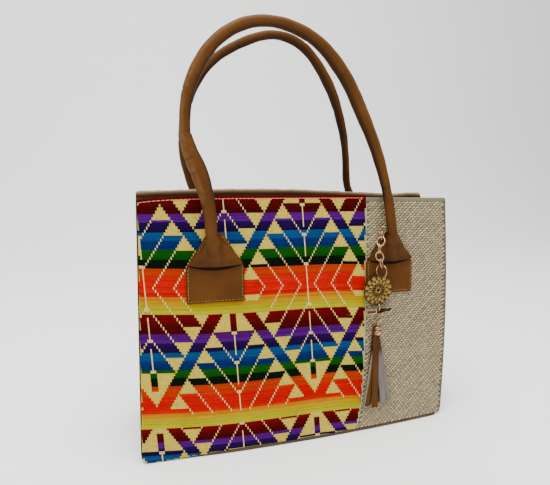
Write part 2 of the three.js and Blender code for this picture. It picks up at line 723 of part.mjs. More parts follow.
// Places an upright ring that starts from an eye of the medallion and leans outward, turned from
// facing out.
function hangRing(name, { radius, lean, turn }, side) {
  const eyeOut = MEDALLION_OUT + side * EYE_OFFSET * Math.sin(MEDALLION_TILT);
  const eyeUp = side * EYE_OFFSET * Math.cos(MEDALLION_TILT);
  const reach = radius * Math.sin(lean);
  const across = reach * Math.cos(turn);
  const out = eyeOut - reach * Math.sin(turn);
  const up = eyeUp + side * radius * Math.cos(lean);
  const ring = addPiece(charm, name, facingRing(radius), paleGold());
  ring.position.copy(inCharm({ across, out, up }));
  ring.rotation.z = turn;
}
hangRing("ring_upper", UPPER_RING, 1);
hangRing("ring_lower", LOWER_RING, -1);

const tagPiece = addPiece(charm, "tag", tag(), oldGold());
tagPiece.position.copy(inCharm(TAG));
tagPiece.rotation.y = -TAG.rise;
const tasselRing = addPiece(charm, "ring_tassel", facingRing(TASSEL_RING.radius), paleGold());
tasselRing.position.copy(inCharm(TASSEL_RING));
addPiece(charm, "tassel_cap", tasselCap(), paleGold()).position.copy(inCharm(CAP));
const strands = addPiece(charm, "tassel", tassel(), suede());
strands.position.copy(inCharm({ ...CAP, up: CAP.up - CAP.height - GAP }));

export default bag;
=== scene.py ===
import math

import bmesh
import bpy
import numpy as np
from mathutils import Matrix, Vector


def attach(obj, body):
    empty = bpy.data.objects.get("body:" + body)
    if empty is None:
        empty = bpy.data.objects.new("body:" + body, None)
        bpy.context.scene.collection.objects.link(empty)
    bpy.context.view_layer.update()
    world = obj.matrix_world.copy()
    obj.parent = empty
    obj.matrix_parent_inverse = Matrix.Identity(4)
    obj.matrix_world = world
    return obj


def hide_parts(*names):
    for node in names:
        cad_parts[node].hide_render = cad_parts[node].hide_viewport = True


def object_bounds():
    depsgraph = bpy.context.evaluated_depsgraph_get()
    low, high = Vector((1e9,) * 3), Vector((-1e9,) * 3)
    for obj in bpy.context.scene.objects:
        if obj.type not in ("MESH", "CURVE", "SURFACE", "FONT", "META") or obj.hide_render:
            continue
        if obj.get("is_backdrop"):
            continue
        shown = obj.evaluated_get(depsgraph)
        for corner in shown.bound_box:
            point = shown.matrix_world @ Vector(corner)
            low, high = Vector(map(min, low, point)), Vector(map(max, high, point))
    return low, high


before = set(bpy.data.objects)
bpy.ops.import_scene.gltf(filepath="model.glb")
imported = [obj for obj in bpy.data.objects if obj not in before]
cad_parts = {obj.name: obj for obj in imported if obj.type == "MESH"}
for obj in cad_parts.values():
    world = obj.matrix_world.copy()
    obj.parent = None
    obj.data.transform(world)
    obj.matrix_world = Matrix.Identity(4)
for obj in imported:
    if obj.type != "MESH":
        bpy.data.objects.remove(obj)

# A standing handbag: brocaded and canvas front, leather gussets, base and handles, and a charm on a chain.
# Sizes are in millimetres and become metres in the meshes.
CAD_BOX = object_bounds()
MM = 0.001
CHANCE = np.random.default_rng(7)

# The body, as the solids have it.
BASE_WIDTH, MOUTH_WIDTH = 368, 360
BASE_DEPTH, MOUTH_DEPTH = 106, 54
PANEL_TOP = 273
FRONT_RISE_MIDDLE, FRONT_DROP_LEFT, FRONT_FALL_RIGHT, WEAVE_HIGHER = 2.6, 1.6, 1.4, 2.4
BACK_RISE_MIDDLE, BACK_DROP_RIGHT, BACK_ARCH, BACK_FALL_RIGHT, BACK_LIFT_CORNER = 1.9, 2.7, 4.6, 4.9, 3
BASE_BULGE, MOUTH_BULGE = 7, 2
CORNER_RADIUS = 9
BASE_INSET = {-1: 1, 1: 5}
RIGHT_BOW, RIGHT_WIDER_MOUTH = 5, 1.5
GAP = 0.4
PANEL_WALL = 2.6
GUSSET_WALL, GUSSET_INSET, GUSSET_FOLD, GUSSET_TOP_DROP = 2.2, 1.2, 15, 3
BASE_THICKNESS = 3.4
SEAM_X, SEAM_SWING, SEAM_SWING_HEIGHT = 59.3, 12.3, 38
WEAVE_PROUD = 0.7
PANEL_LOW = BASE_THICKNESS + GAP


# Small helpers

def lerp(a, b, t):
    return a + (b - a) * t


def smoothstep(t):
    t = np.clip(t, 0, 1)
    return t * t * (3 - 2 * t)


def unit(v):
    return v / np.linalg.norm(v, axis=-1, keepdims=True)


def bell(value, width):
    """1 at 0, and falling off smoothly on both sides."""
    return np.exp(-((value / width) ** 2))


def corner_drop(radius, inset):
    """How far a rounded edge falls back at a distance from its end."""
    inside = np.clip(radius - inset, 0, radius)
    return radius - np.sqrt(radius**2 - inside**2)


def linear(code):
    """A colour code such as 7a4a20 as linear red, green and blue."""
    parts = np.array([int(code[i:i + 2], 16) for i in (0, 2, 4)]) / 255
    return np.where(parts <= 0.04045, parts / 12.92, ((parts + 0.055) / 1.055) ** 2.4)


def rgba(code):
    return (*linear(code), 1)


def half_width_at(z, side):
    """Distance of the left (-1) or right (1) side from the middle at a height."""
    share = z / PANEL_TOP
    bow = (RIGHT_WIDER_MOUTH * share + RIGHT_BOW * np.sin(np.pi * share)) * (side > 0)
    return lerp(BASE_WIDTH, MOUTH_WIDTH, share) / 2 + bow - corner_drop(CORNER_RADIUS, z)


def seam_at(z):
    return SEAM_X + SEAM_SWING * (1 - np.exp(-z / SEAM_SWING_HEIGHT))


def panel_depth(x, z):
    share = z / PANEL_TOP
    plain = lerp(BASE_DEPTH, MOUTH_DEPTH, share) / 2
    return plain + lerp(BASE_BULGE, MOUTH_BULGE, share) * (1 - (x / (BASE_WIDTH / 2)) ** 2)


def front_top(x):
    side = x / (MOUTH_WIDTH / 2)
    fall = np.where(side < 0, FRONT_DROP_LEFT * side**6, FRONT_FALL_RIGHT * side**2)
    return PANEL_TOP + FRONT_RISE_MIDDLE - fall


def weave_top(x):
    """The weave's turned hem stands a little over the canvas."""
    side = np.minimum(0, x / (MOUTH_WIDTH / 2))
    return front_top(x) + WEAVE_HIGHER * (1 - side**6)


def back_top(x):
    side = x / (MOUTH_WIDTH / 2)
    left, right = np.minimum(0, side), np.maximum(0, side)
    fall = BACK_ARCH * left**2 + BACK_FALL_RIGHT * right**2 / (right + 0.06)
    lift = BACK_LIFT_CORNER * smoothstep((right - 0.75) / 0.2)
    return PANEL_TOP + BACK_RISE_MIDDLE - BACK_DROP_RIGHT * side - fall + lift


def smooth_path(points, per_span):
    """A smooth centripetal curve through points of any dimension, with per_span steps between two."""
    p = np.asarray(points, float)
    p = np.vstack([2 * p[0] - p[1], p, 2 * p[-1] - p[-2]])
    out = []
    for a, b, c, d in zip(p, p[1:], p[2:], p[3:]):
        k0, k1, k2 = (np.linalg.norm(q - r) ** 0.5 for q, r in ((b, a), (c, b), (d, c)))
        t1 = ((b - a) / k0 - (c - a) / (k0 + k1) + (c - b) / k1) * k1
        t2 = ((c - b) / k1 - (d - b) / (k1 + k2) + (d - c) / k2) * k1
        s = np.linspace(0, 1, per_span, endpoint=False)[:, None]
        out.append(b + t1 * s + (3 * (c - b) - 2 * t1 - t2) * s**2 + (2 * (b - c) + t1 + t2) * s**3)
    return np.vstack(out + [p[-2:-1]])


def even_steps(path, count):
    """Points of a path at even distances along it."""
    walk = np.r_[0, np.cumsum(np.linalg.norm(np.diff(path, axis=0), axis=1))]
    at = np.linspace(0, walk[-1], count)
    return np.stack([np.interp(at, walk, path[:, i]) for i in range(path.shape[1])], axis=1)


# Meshes

def add_object(name, data):
    made = bpy.data.objects.new(name, data)
    bpy.context.scene.collection.objects.link(made)
    return made


def add_mesh(name, points, faces, finish, sharp=None, **marks):
    """A piece from points in millimetres. marks are numbers or colours kept on its points."""
    mesh = bpy.data.meshes.new(name)
    mesh.from_pydata((np.asarray(points) * MM).tolist(), [], faces)
    for mark, values in marks.items():
        values = np.asarray(values, float)
        if values.ndim == 1:
            mesh.attributes.new(mark, "FLOAT", "POINT").data.foreach_set("value", values)
        else:
            coloured = np.c_[values, np.ones(len(values))]
            mesh.attributes.new(mark, "FLOAT_COLOR", "POINT").data.foreach_set("color", coloured.ravel())
    form = bmesh.new()
    form.from_mesh(mesh)
    bmesh.ops.recalc_face_normals(form, faces=form.faces)
    form.to_mesh(mesh)
    form.free()
    mesh.shade_smooth()
    if sharp:
        mesh.set_sharp_from_angle(angle=math.radians(sharp))
    mesh.materials.append(finish)
    return add_object(name, mesh)


def belongs(piece, slot, *nodes):
    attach(piece, "root")
    if nodes:
        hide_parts(*nodes)
    return piece


def loft(rings):
    """Points and faces of a closed form through rings of equally many points."""
    rings = np.asarray(rings, float)
    count, sides = rings.shape[:2]
    faces = []
    for r in range(count - 1):
        for s in range(sides):
            a, b = r * sides + s, r * sides + (s + 1) % sides
            faces.append((a, b, b + sides, a + sides))
    faces.append(tuple(range(sides))[::-1])
    faces.append(tuple(range((count - 1) * sides, count * sides)))
    return rings.reshape(-1, 3), faces


NEAR_TOP = np.array([7.5, 6, 5.2, 4.6, 4, 3, 2, 1, 0])


def wall_rings(columns, top, place, thickness, rows, low=None):
    """Sections of an upright wall with a rounded top edge. place(column, z, t) is a point, with t from
    0 on the outer face to 1 on the inner face."""
    radius = thickness / 2
    turn = np.radians(np.linspace(0, 180, 9))
    rings = []
    for column in columns:
        crest = top(column) - radius
        foot = low(column) if low else PANEL_LOW
        z = np.r_[lerp(foot, crest - 9, np.linspace(0, 1, rows - len(NEAR_TOP)) ** 1.15), crest - NEAR_TOP]
        heights = np.r_[z[:-1], crest + radius * np.sin(turn), z[::-1][1:]]
        across = np.r_[np.zeros(rows - 1), 0.5 - 0.5 * np.cos(turn), np.ones(rows - 1)]
        rings.append(place(column, heights, across))
    return np.array(rings)


# The photograph's camera, a pale sweep and soft light.

CAMERA_PLACE = (-178.2, -487.3, 320.5)
CAMERA_YAW, CAMERA_PITCH, CAMERA_ROLL = 17.23, -11.06, 1.33
FOCAL_PIXELS, IMAGE_WIDTH, SENSOR_WIDTH = 447.4, 550, 36
SWEEP_RADIUS, SWEEP_FRONT, SWEEP_HEIGHT, SWEEP_HALF = 900, -4000, 3500, 5000
SKY_STRENGTH = 0.9
LAMPS = (
    # name, watts, size, place and what it looks at, in metres
    ("softbox_above", 82, 1.6, (-0.2, -0.35, 1.9), (0, -0.05, 0.1)),
    ("softbox_front", 2, 0.7, (-0.7, -1.3, 1.0), (0, 0, 0.2)),
)


def set_camera():
    yaw, pitch, roll = (math.radians(a) for a in (CAMERA_YAW, CAMERA_PITCH, CAMERA_ROLL))
    ahead = np.array([math.sin(yaw) * math.cos(pitch), math.cos(yaw) * math.cos(pitch), math.sin(pitch)])
    right = np.array([math.cos(yaw), -math.sin(yaw), 0])
    up = np.cross(right, ahead)
    tilted_right = math.cos(roll) * right + math.sin(roll) * up
    tilted_up = math.cos(roll) * up - math.sin(roll) * right
    data = bpy.data.cameras.new("camera")
    data.sensor_fit = "HORIZONTAL"
    data.sensor_width = SENSOR_WIDTH
    data.lens = FOCAL_PIXELS * SENSOR_WIDTH / IMAGE_WIDTH
    camera = add_object("camera", data)
    turn = Matrix((tilted_right, tilted_up, -ahead)).transposed().to_4x4()
    camera.matrix_world = Matrix.Translation(Vector(CAMERA_PLACE) * MM) @ turn
    bpy.context.scene.camera = camera


def set_stage():
    paper = bpy.data.materials.new("pale_floor")
    paper.use_nodes = True
    shader = paper.node_tree.nodes["Principled BSDF"]
    shader.inputs["Base Color"].default_value = (0.93, 0.93, 0.92, 1)
    shader.inputs["Roughness"].default_value = 0.9
    bend = np.radians(np.linspace(0, 90, 13))
    profile = [(SWEEP_FRONT, 0), (SWEEP_FRONT / 4, 0), (SWEEP_RADIUS, 0)]
    profile += [(SWEEP_RADIUS * (1 + math.sin(a)), SWEEP_RADIUS * (1 - math.cos(a))) for a in bend[1:]]
    profile += [(2 * SWEEP_RADIUS, SWEEP_HEIGHT)]
    points = [(x, y, z) for y, z in profile for x in (-SWEEP_HALF, SWEEP_HALF)]
    faces = [(2 * i, 2 * i + 1, 2 * i + 3, 2 * i + 2) for i in range(len(profile) - 1)]
    add_mesh("floor", points, faces, paper)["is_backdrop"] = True
    world = bpy.data.worlds.new("soft_sky")
    bpy.context.scene.world = world
    world.use_nodes = True
    world.node_tree.nodes["Background"].inputs["Color"].default_value = (1, 1, 1, 1)
    world.node_tree.nodes["Background"].inputs["Strength"].default_value = SKY_STRENGTH
    for name, watts, size, place, target in LAMPS:
        light = bpy.data.lights.new(name, "AREA")
        light.energy = watts
        light.size = size
        lamp = add_object(name, light)
        lamp.location = place
        lamp.rotation_euler = (Vector(target) - Vector(place)).to_track_quat("-Z", "Y").to_euler()


set_camera()
set_stage()


# Shader groups that several finishes share

def add_node(tree, kind, inputs=(), **settings):
    """A node with its settings. Its inputs, by name or number, are plain values or other nodes' outputs."""
    node = tree.nodes.new(kind)
    for key, value in settings.items():
        setattr(node, key, value)
    for socket, value in dict(inputs).items():
        if isinstance(value, bpy.types.NodeSocket):
            tree.links.new(value, node.inputs[socket])
        else:
            node.inputs[socket].default_value = value
    return node


def math_node(tree, operation, *values):
    return add_node(tree, "ShaderNodeMath", enumerate(values), operation=operation).outputs[0]


def object_place(tree):
    return add_node(tree, "ShaderNodeTexCoord").outputs["Object"]


def new_group(name, inputs, outputs):
    """A shader group with number sockets, and the sockets of what goes into it."""
    tree = bpy.data.node_groups.new(name, "ShaderNodeTree")
    for socket, value in inputs.items():
        made = tree.interface.new_socket(socket, in_out="INPUT", socket_type="NodeSocketFloat")
        made.default_value = value
    for socket in outputs:
        tree.interface.new_socket(socket, in_out="OUTPUT", socket_type="NodeSocketFloat")
    return tree, add_node(tree, "NodeGroupInput").outputs


def stretched(tree, *scales):
    """Object coordinates with each axis stretched by a socket's value."""
    axes = add_node(tree, "ShaderNodeSeparateXYZ", {0: object_place(tree)}).outputs
    scaled = [math_node(tree, "MULTIPLY", axis, scale) for axis, scale in zip(axes, scales)]
    return add_node(tree, "ShaderNodeCombineXYZ", enumerate(scaled)).outputs[0]


def noise(tree, vector, scale, detail):
    inputs = {"Vector": vector, "Scale": scale, "Detail": detail}
    return add_node(tree, "ShaderNodeTexNoise", inputs).outputs["Fac"]


def make_fibres():
    """Fine fibres along x, as on spun thread."""
    tree, inside = new_group("fibres", {"Along": 220, "Across": 2600}, ["Tone", "Height"])
    along, across = inside["Along"], inside["Across"]
    fine = noise(tree, stretched(tree, along, across, across), 1, 3)
    broad = noise(tree, stretched(tree, along, along, along), 0.25, 2)
    parts = [math_node(tree, "MULTIPLY", part, share) for part, share in ((fine, 0.65), (broad, 0.35))]
    add_node(tree, "NodeGroupOutput", {"Tone": math_node(tree, "ADD", *parts), "Height": fine})
    return tree


def make_plain_weave():
    """Threads over and under each other, with a pitch across and a pitch up."""
    tree, inside = new_group("plain_weave", {"Warp": 0.0007, "Weft": 0.0006}, ["Height", "Tone"])
    where = object_place(tree)
    axes = add_node(tree, "ShaderNodeSeparateXYZ", {0: where}).outputs
    waves = []
    for axis, pitch in ((axes[0], "Warp"), (axes[2], "Weft")):
        share = math_node(tree, "DIVIDE", axis, inside[pitch])
        waves.append(math_node(tree, "SINE", math_node(tree, "MULTIPLY", share, math.pi)))
    height = math_node(tree, "ABSOLUTE", math_node(tree, "MULTIPLY", *waves))
    tone = math_node(tree, "ADD", math_node(tree, "MULTIPLY", height, 0.4), noise(tree, where, 900, 3))
    add_node(tree, "NodeGroupOutput", {"Height": height, "Tone": tone})
    return tree


def make_hide():
    """Fine pebble grain and broad tone of smooth leather."""
    tree, inside = new_group("hide", {"Pebble": 1500, "Cloud": 26}, ["Tone", "Height", "Wear"])
    where = object_place(tree)
    pebbles = {"Vector": where, "Scale": inside["Pebble"]}
    cells = add_node(tree, "ShaderNodeTexVoronoi", pebbles, feature="SMOOTH_F1")
    cloud, scuff = noise(tree, where, inside["Cloud"], 4), noise(tree, where, 190, 5)
    height = math_node(tree, "ADD", cells.outputs["Distance"], math_node(tree, "MULTIPLY", scuff, 0.5))
    add_node(tree, "NodeGroupOutput", {"Tone": cloud, "Height": height, "Wear": scuff})
    return tree


FIBRES, PLAIN_WEAVE, HIDE = make_fibres(), make_plain_weave(), make_hide()


class Finish:
    """A Principled material under construction."""

    def __init__(self, name, **plain):
        self.material = bpy.data.materials.new(name)
        self.material.use_nodes = True
        self.tree = self.material.node_tree
        self.shader = self.tree.nodes["Principled BSDF"]
        for socket, value in plain.items():
            self.shader.inputs[socket.replace("_", " ").title().replace("Ior", "IOR")].default_value = value

    def group(self, tree, **values):
        inputs = {socket.title(): value for socket, value in values.items()}
        return add_node(self.tree, "ShaderNodeGroup", inputs, node_tree=tree).outputs

    def mark(self, name, output="Fac"):
        return add_node(self.tree, "ShaderNodeAttribute", attribute_name=name).outputs[output]

    def blend(self, share, first, second):
        inputs = {0: share, 6: first, 7: second}
        return add_node(self.tree, "ShaderNodeMix", inputs, data_type="RGBA").outputs[2]

    def times(self, colour, value):
        inputs = {0: colour, "Scale": value}
        return add_node(self.tree, "ShaderNodeVectorMath", inputs, operation="SCALE").outputs[0]

    def span(self, value, low, high, to_low, to_high):
        inputs = enumerate((value, low, high, to_low, to_high))
        return add_node(self.tree, "ShaderNodeMapRange", inputs).outputs[0]

    def feed(self, socket, value):
        self.tree.links.new(value, self.shader.inputs[socket])

    def bump(self, height, distance, strength):
        inputs = {"Height": height, "Distance": distance, "Strength": strength}
        self.feed("Normal", add_node(self.tree, "ShaderNodeBump", inputs).outputs[0])


def thread_finish(name, along, across, dark, light, roughness=0.8):
    """Spun thread that takes its colour from the shade on its points."""
    made = Finish(name, roughness=roughness, specular_ior_level=0.03)
    fibres = made.group(FIBRES, along=along, across=across)
    tone = made.span(fibres["Tone"], 0.3, 0.7, dark, light)
    made.feed("Base Color", made.times(made.mark("shade", "Color"), tone))
    made.bump(fibres["Height"], 0.00012, 0.5)
    return made.material


def cloth_finish(name, warp, weft, depth, dark, light):
    """Plain woven cloth that takes its colour from the shade on its points."""
    made = Finish(name, roughness=0.9, specular_ior_level=0.03)
    weave = made.group(PLAIN_WEAVE, warp=warp, weft=weft)
    tone = made.span(weave["Tone"], 0.3, 0.9, dark, light)
    made.feed("Base Color", made.times(made.mark("shade", "Color"), tone))
    made.bump(weave["Height"], depth, 0.9)
    return made.material


# Near black, for painted shade and for dark edges.
SHADE_AND_BURNISH_COLOUR = "140803"


def leather_finish(name, dark, light, wear_and_highlight, pebble=1500, gloss=0.46):
    """Leather with soft grain. Marked points are darkened, for painted shade and for dark edges, and other
    marked points are paler, for wear and for painted highlights.
    """
    made = Finish(name, specular_ior_level=0.05)
    hide = made.group(HIDE, pebble=pebble)
    base = made.blend(made.span(hide["Tone"], 0.32, 0.68, 0, 1), rgba(dark), rgba(light))
    worn_share = made.span(hide["Wear"], 0.35, 0.65, 0.4, 1)
    paler = made.blend(math_node(made.tree, "MULTIPLY", made.mark("rub"), worn_share), base, rgba(wear_and_highlight))
    made.feed("Base Color", made.blend(made.mark("burnish"), paler, rgba(SHADE_AND_BURNISH_COLOUR)))
    made.feed("Roughness", made.span(hide["Wear"], 0.3, 0.7, gloss - 0.07, gloss + 0.1))
    made.bump(hide["Height"], 0.00018, 0.35)
    return made.material


def metal_finish(name, bright, dark, roughness):
    """Plated metal whose marked points are darkened, for patina in its hollows and for painted shade."""
    made = Finish(name, metallic=1.0)
    hide = made.group(HIDE, pebble=900, cloud=160)
    patina = made.blend(made.span(hide["Tone"], 0.35, 0.7, 0, 0.35), rgba(bright), rgba(dark))
    made.feed("Base Color", made.blend(made.mark("recess"), patina, rgba(dark)))
    made.feed("Roughness", made.span(hide["Wear"], 0.3, 0.7, roughness - 0.05, roughness + 0.14))
    return made.material


BROCADE = thread_finish("brocade_thread", 160, 3000, 0.75, 1.12, 0.75)
CREAM_YARN = thread_finish("cream_yarn", 1500, 1500, 0.75, 1.12)
CANVAS_YARN = thread_finish("canvas_yarn", 700, 2400, 0.75, 1.15)
SEWING = thread_finish("sewing_thread", 900, 4000, 0.75, 1.1)
GROUND_CLOTH = cloth_finish("ground_cloth", 0.0011, 0.0011, 0.00025, 0.7, 1.05)
CANVAS_GROUND = cloth_finish("canvas_ground", 0.0013, 0.0013, 0.0003, 0.7, 1.1)
# The third colour of each leather is the pale one, for wear and for painted highlights.
LEATHER = leather_finish("tan_leather", "3d220a", "4f2f11", "674826")
BINDING_TAN = leather_finish("binding_leather", "564029", "684e35", "968a70", 1500, 0.55)
BASE_LEATHER = leather_finish("base_leather", "423426", "564838", "6a5840", 1900, 0.6)
PATCH_LEATHER = leather_finish("patch_leather", "43260b", "502f10", "63401a", 1900, 0.55)
STRIP_BROWN = leather_finish("brown_strips", "40250d", "513213", "684626", 2100, 0.6)
STRIP_WHITE = leather_finish("white_strips", "5e5751", "716861", "857b74", 2100, 0.55)
PALE_GOLD = metal_finish("pale_rose_gold", "ba946e", "4a2a12", 0.22)
TAG_GOLD = metal_finish("tag_gold", "c8a27e", "241606", 0.3)
OLD_GOLD = metal_finish("old_gold", "90763e", "231504", 0.36)


# Threads and stitches that are laid on points by Geometry Nodes

def make_laying_tree():
    """Lays one shape on every point, turned and lengthened as the point says."""
    tree = bpy.data.node_groups.new("laid_threads", "GeometryNodeTree")
    sockets = {"Geometry": "Geometry", "Shape": "Object", "Finish": "Material"}
    sockets.update(Length="Float", Width="Float", Height="Float")
    for name, kind in sockets.items():
        tree.interface.new_socket(name, in_out="INPUT", socket_type="NodeSocket" + kind)
    tree.interface.new_socket("Geometry", in_out="OUTPUT", socket_type="NodeSocketGeometry")
    inside = add_node(tree, "NodeGroupInput").outputs
    turn, share = (
        add_node(tree, "GeometryNodeInputNamedAttribute", {"Name": name}, data_type=kind).outputs["Attribute"]
        for name, kind in (("turn", "FLOAT_VECTOR"), ("share", "FLOAT"))
    )
    length = math_node(tree, "MULTIPLY", share, inside["Length"])
    size = add_node(tree, "ShaderNodeCombineXYZ", enumerate((length, inside["Width"], inside["Height"])))
    shape = add_node(tree, "GeometryNodeObjectInfo", {"Object": inside["Shape"]})
    lay = add_node(tree, "GeometryNodeInstanceOnPoints", {
        "Points": inside["Geometry"],
        "Instance": shape.outputs["Geometry"],
        "Rotation": add_node(tree, "FunctionNodeEulerToRotation", {0: turn}).outputs[0],
        "Scale": size.outputs[0],
    })
    real = add_node(tree, "GeometryNodeRealizeInstances", {0: lay.outputs["Instances"]})
    dressed = {"Geometry": real.outputs[0], "Material": inside["Finish"]}
    dress = add_node(tree, "GeometryNodeSetMaterial", dressed)
    add_node(tree, "NodeGroupOutput", {0: dress.outputs[0]})
    return tree


LAYING = make_laying_tree()


def thread_shape(stations, outline):
    """A raised thread of unit length, width and height: stations are (place, height) along it and
    outline is (side, height) across it."""
    points = [(x, side, lift * rise) for x, lift in stations for side, rise in outline]
    wide = len(outline)
    faces = [
        (a, a + wide, a + wide + 1, a + 1)
        for row in range(len(stations) - 1)
        for a in range(row * wide, row * wide + wide - 1)
    ]
    mesh = bpy.data.meshes.new("thread_shape")
    mesh.from_pydata(points, [], faces)
    mesh.shade_smooth()
    return add_object("thread_shape", mesh)


ROUND = ((-0.5, 0), (-0.34, 0.78), (0.0, 1.0), (0.34, 0.78), (0.5, 0))
BROAD = ((-0.5, 0), (-0.3, 0.9), (0.3, 0.9), (0.5, 0))
PEAKED = ((-0.5, 0), (0, 1), (0.5, 0))
FLOAT_STATIONS = ((-0.5, 0.3), (-0.46, 0.9), (0.46, 0.9), (0.5, 0.3))
PILL_STATIONS = ((-0.5, 0), (-0.28, 0.9), (0.28, 0.9), (0.5, 0))


def lay_threads(name, stations, outline, finish, places, along, out, length, width, height, shares, shades):
    """Lays a thread on each place in millimetres, running along and standing out from the surface."""
    ahead = unit(np.asarray(along, float))
    lift = unit(out - ahead * np.sum(out * ahead, axis=1, keepdims=True))
    beside = np.cross(lift, ahead)
    turns = [Matrix((a, b, c)).transposed().to_euler() for a, b, c in zip(ahead, beside, lift)]
    cloud = bpy.data.meshes.new(name + "_points")
    cloud.from_pydata((places * MM).tolist(), [], [])
    cloud.attributes.new("turn", "FLOAT_VECTOR", "POINT").data.foreach_set("vector", np.ravel(turns))
    cloud.attributes.new("share", "FLOAT", "POINT").data.foreach_set("value", shares)
    shade = cloud.attributes.new("shade", "FLOAT_COLOR", "POINT")
    shade.data.foreach_set("color", np.c_[shades, np.ones(len(shades))].ravel())
    points = add_object(name + "_points", cloud)
    shape = thread_shape(stations, outline)
    layer = points.modifiers.new("lay", "NODES")
    layer.node_group = LAYING
    values = {"Shape": shape, "Finish": finish}
    values.update(Length=length * MM, Width=width * MM, Height=height * MM)
    for socket in LAYING.interface.items_tree:
        if socket.name in values:
            layer[socket.identifier] = values[socket.name]
    done = points.evaluated_get(bpy.context.evaluated_depsgraph_get())
    mesh = bpy.data.meshes.new_from_object(done)
    mesh.name = name
    piece = add_object(name, mesh)
    for used in (points, shape):
        bpy.data.objects.remove(used)
    return piece


# The brocade's chart, counted in cells from an upright axis and rows from a level mirror line. Rows of
# triangles step along a slanting band, lines run from them to the axis, and the other side of the band
# is the same turned round.
CELL, ROW = 2.069, 3.244
PICKS = 3
CELLS_ACROSS = ROWS_DOWN = 42
AXIS_X, MIRROR_Z = 1.7, 180.5
TIER, TIERS = 5, 5
FIRST_ROW, FIRST_MIDDLE = 3, 31
BAND_EDGE = FIRST_MIDDLE + FIRST_ROW + TIER - 1
WEDGE_TOP = FIRST_ROW + TIERS * TIER
WEDGE_BAR, WEDGE_BAR_END = 1, 34
AXIS_LINES = ((0, 6), (10, 16), (20, 26))
FORKS = (7, 17, 27)
COLOURED, FILLED, LINE = 0, 1, 2
# The cloth is sewn on a little askew: its warps lean, and below its level top its rows drop to the right
# and sag.
ROW_DROP, WARP_LEAN, SKEW_Z = 0.036, 0.0675, 150
LEVEL_TOP, SKEW_REACH = 272, 110
SAG_X = (-180, -140, -110, -70, -20, 18, 45, 75)
SAG = (0, -1.5, -2.4, -2.0, -0.6, 0.3, 0, -1.9)


def chart(cells, rows):
    """What shows at cells from an axis and rows from a mirror line: picks, filled cream or a line."""
    turned = cells + rows > (CELLS_ACROSS + ROWS_DOWN) / 2
    a = np.where(turned, CELLS_ACROSS - cells, cells)
    b = np.where(turned, ROWS_DOWN - rows, rows)
    line = (a <= 1) & np.isin(b, FORKS)
    for start, end in AXIS_LINES:
        line |= (a == 0) & (b >= start) & (b <= end)
    filled = (b >= WEDGE_TOP) & (a + b <= BAND_EDGE) & ((a > WEDGE_BAR) | (b >= WEDGE_BAR_END))
    for tier in range(TIERS):
        base, middle = FIRST_ROW + tier * TIER, FIRST_MIDDLE - tier * TIER
        filled |= (b >= base) & (b < base + TIER) & (np.abs(a - middle) <= base + TIER - 1 - b)
        line |= (b < base) & (a - b == middle - TIER + 1 - base)
    return np.where(filled, FILLED, np.where(line, LINE, COLOURED))


# The rainbow of the picks: where each colour starts in the upper and lower repeat, and its two ends.
REPEAT = 121.3
# Yellow picks run over the filled cells of the upper repeat and over all of the lower one's last rows,
# where the chart skips some rows and the colours of the part below are narrower.
UPPER_YELLOW, LOWER_YELLOW = (166, 153.5), (47, 31.7)
LAST_ROW, SKIPPED_ROWS, LOWEST_SHARE = 44, 3, 0.72
# The top left corner, left of and above this, has plain maroon picks.
PLAIN_CORNER = (-150, 268)
RAINBOW = (
    ("maroon", 290, 153, "600302", "420300"),
    ("dark_maroon", 268, 141, "430100", "330100"),
    ("violet", 260.5, 132, "44005e", "440064"),
    ("navy", 251.5, 122.5, "1c003c", "11002b"),
    ("sky", 240.5, 112.6, "003f64", "0c3869"),
    ("blue", 232, 104.5, "022454", "021b4c"),
    ("green", 222, 94.5, "0d4404", "003b01"),
    ("dark_green", 211.5, 86, "021200", "020a06"),
    ("orange", 202, 76.7, "982c00", "a22200"),
    ("red", 192, 66, "ac0000", "aa0000"),
    ("gold", 171.5, 48.5, "ae5600", "a48400"),
    ("yellow", 162, 41, "9c9000", "9f9900"),
)
CREAM, LINE_CREAM, LINING, HEM_MAROON = "b8a440", "d8c080", "5c4a30", "3c0200"


def pick_colours(w):
    """Colours of the picks at heights on the cloth, through the upper, lower and lowest repeat."""
    lowest = RAINBOW[0][2] - REPEAT
    upper, lower = ([row[column] for row in RAINBOW] for column in (1, 2))
    below = [lowest - LOWEST_SHARE * (lower[0] - start) for start in lower]
    tops = np.array([*upper, *lower, *below, lowest - REPEAT])
    index = np.clip(np.searchsorted(-tops, -w, side="right") - 1, 0, len(tops) - 2)
    share = np.clip((tops[index] - w) / (tops[index] - tops[index + 1]), 0, 1)
    first, second = (np.array([linear(row[column]) for row in RAINBOW] * 3)[index] for column in (3, 4))
    return lerp(first, second, share[:, None])


def cloth_to_panel(c, w):
    """The place on the panel of a warp c and a row w, both in millimetres on the cloth."""
    z = w
    for _ in range(3):
        x = c - WARP_LEAN * (z - SKEW_Z)
        z = w - (ROW_DROP * x - np.interp(x, SAG_X, SAG)) * smoothstep((LEVEL_TOP - w) / SKEW_REACH)
    return x, z


def folded(value, period):
    """Distance from the nearest mirror line of a pattern that mirrors at 0 and at each period."""
    rest = np.mod(value, 2 * period)
    return np.where(rest > period, 2 * period - rest, rest)


def chart_at(cell, row):
    return chart(folded(np.abs(cell), CELLS_ACROSS), folded(np.abs(row), ROWS_DOWN))


def front_normal(x, z):
    step = 0.5
    slope_x = (panel_depth(x + step, z) - panel_depth(x - step, z)) / (2 * step)
    slope_z = (panel_depth(x, z + step) - panel_depth(x, z - step)) / (2 * step)
    return unit(np.stack([-slope_x, -np.ones_like(x), -slope_z], axis=-1))


def front_point(x, z, proud):
    return np.stack([x, -(panel_depth(x, z) + proud), z], axis=-1)


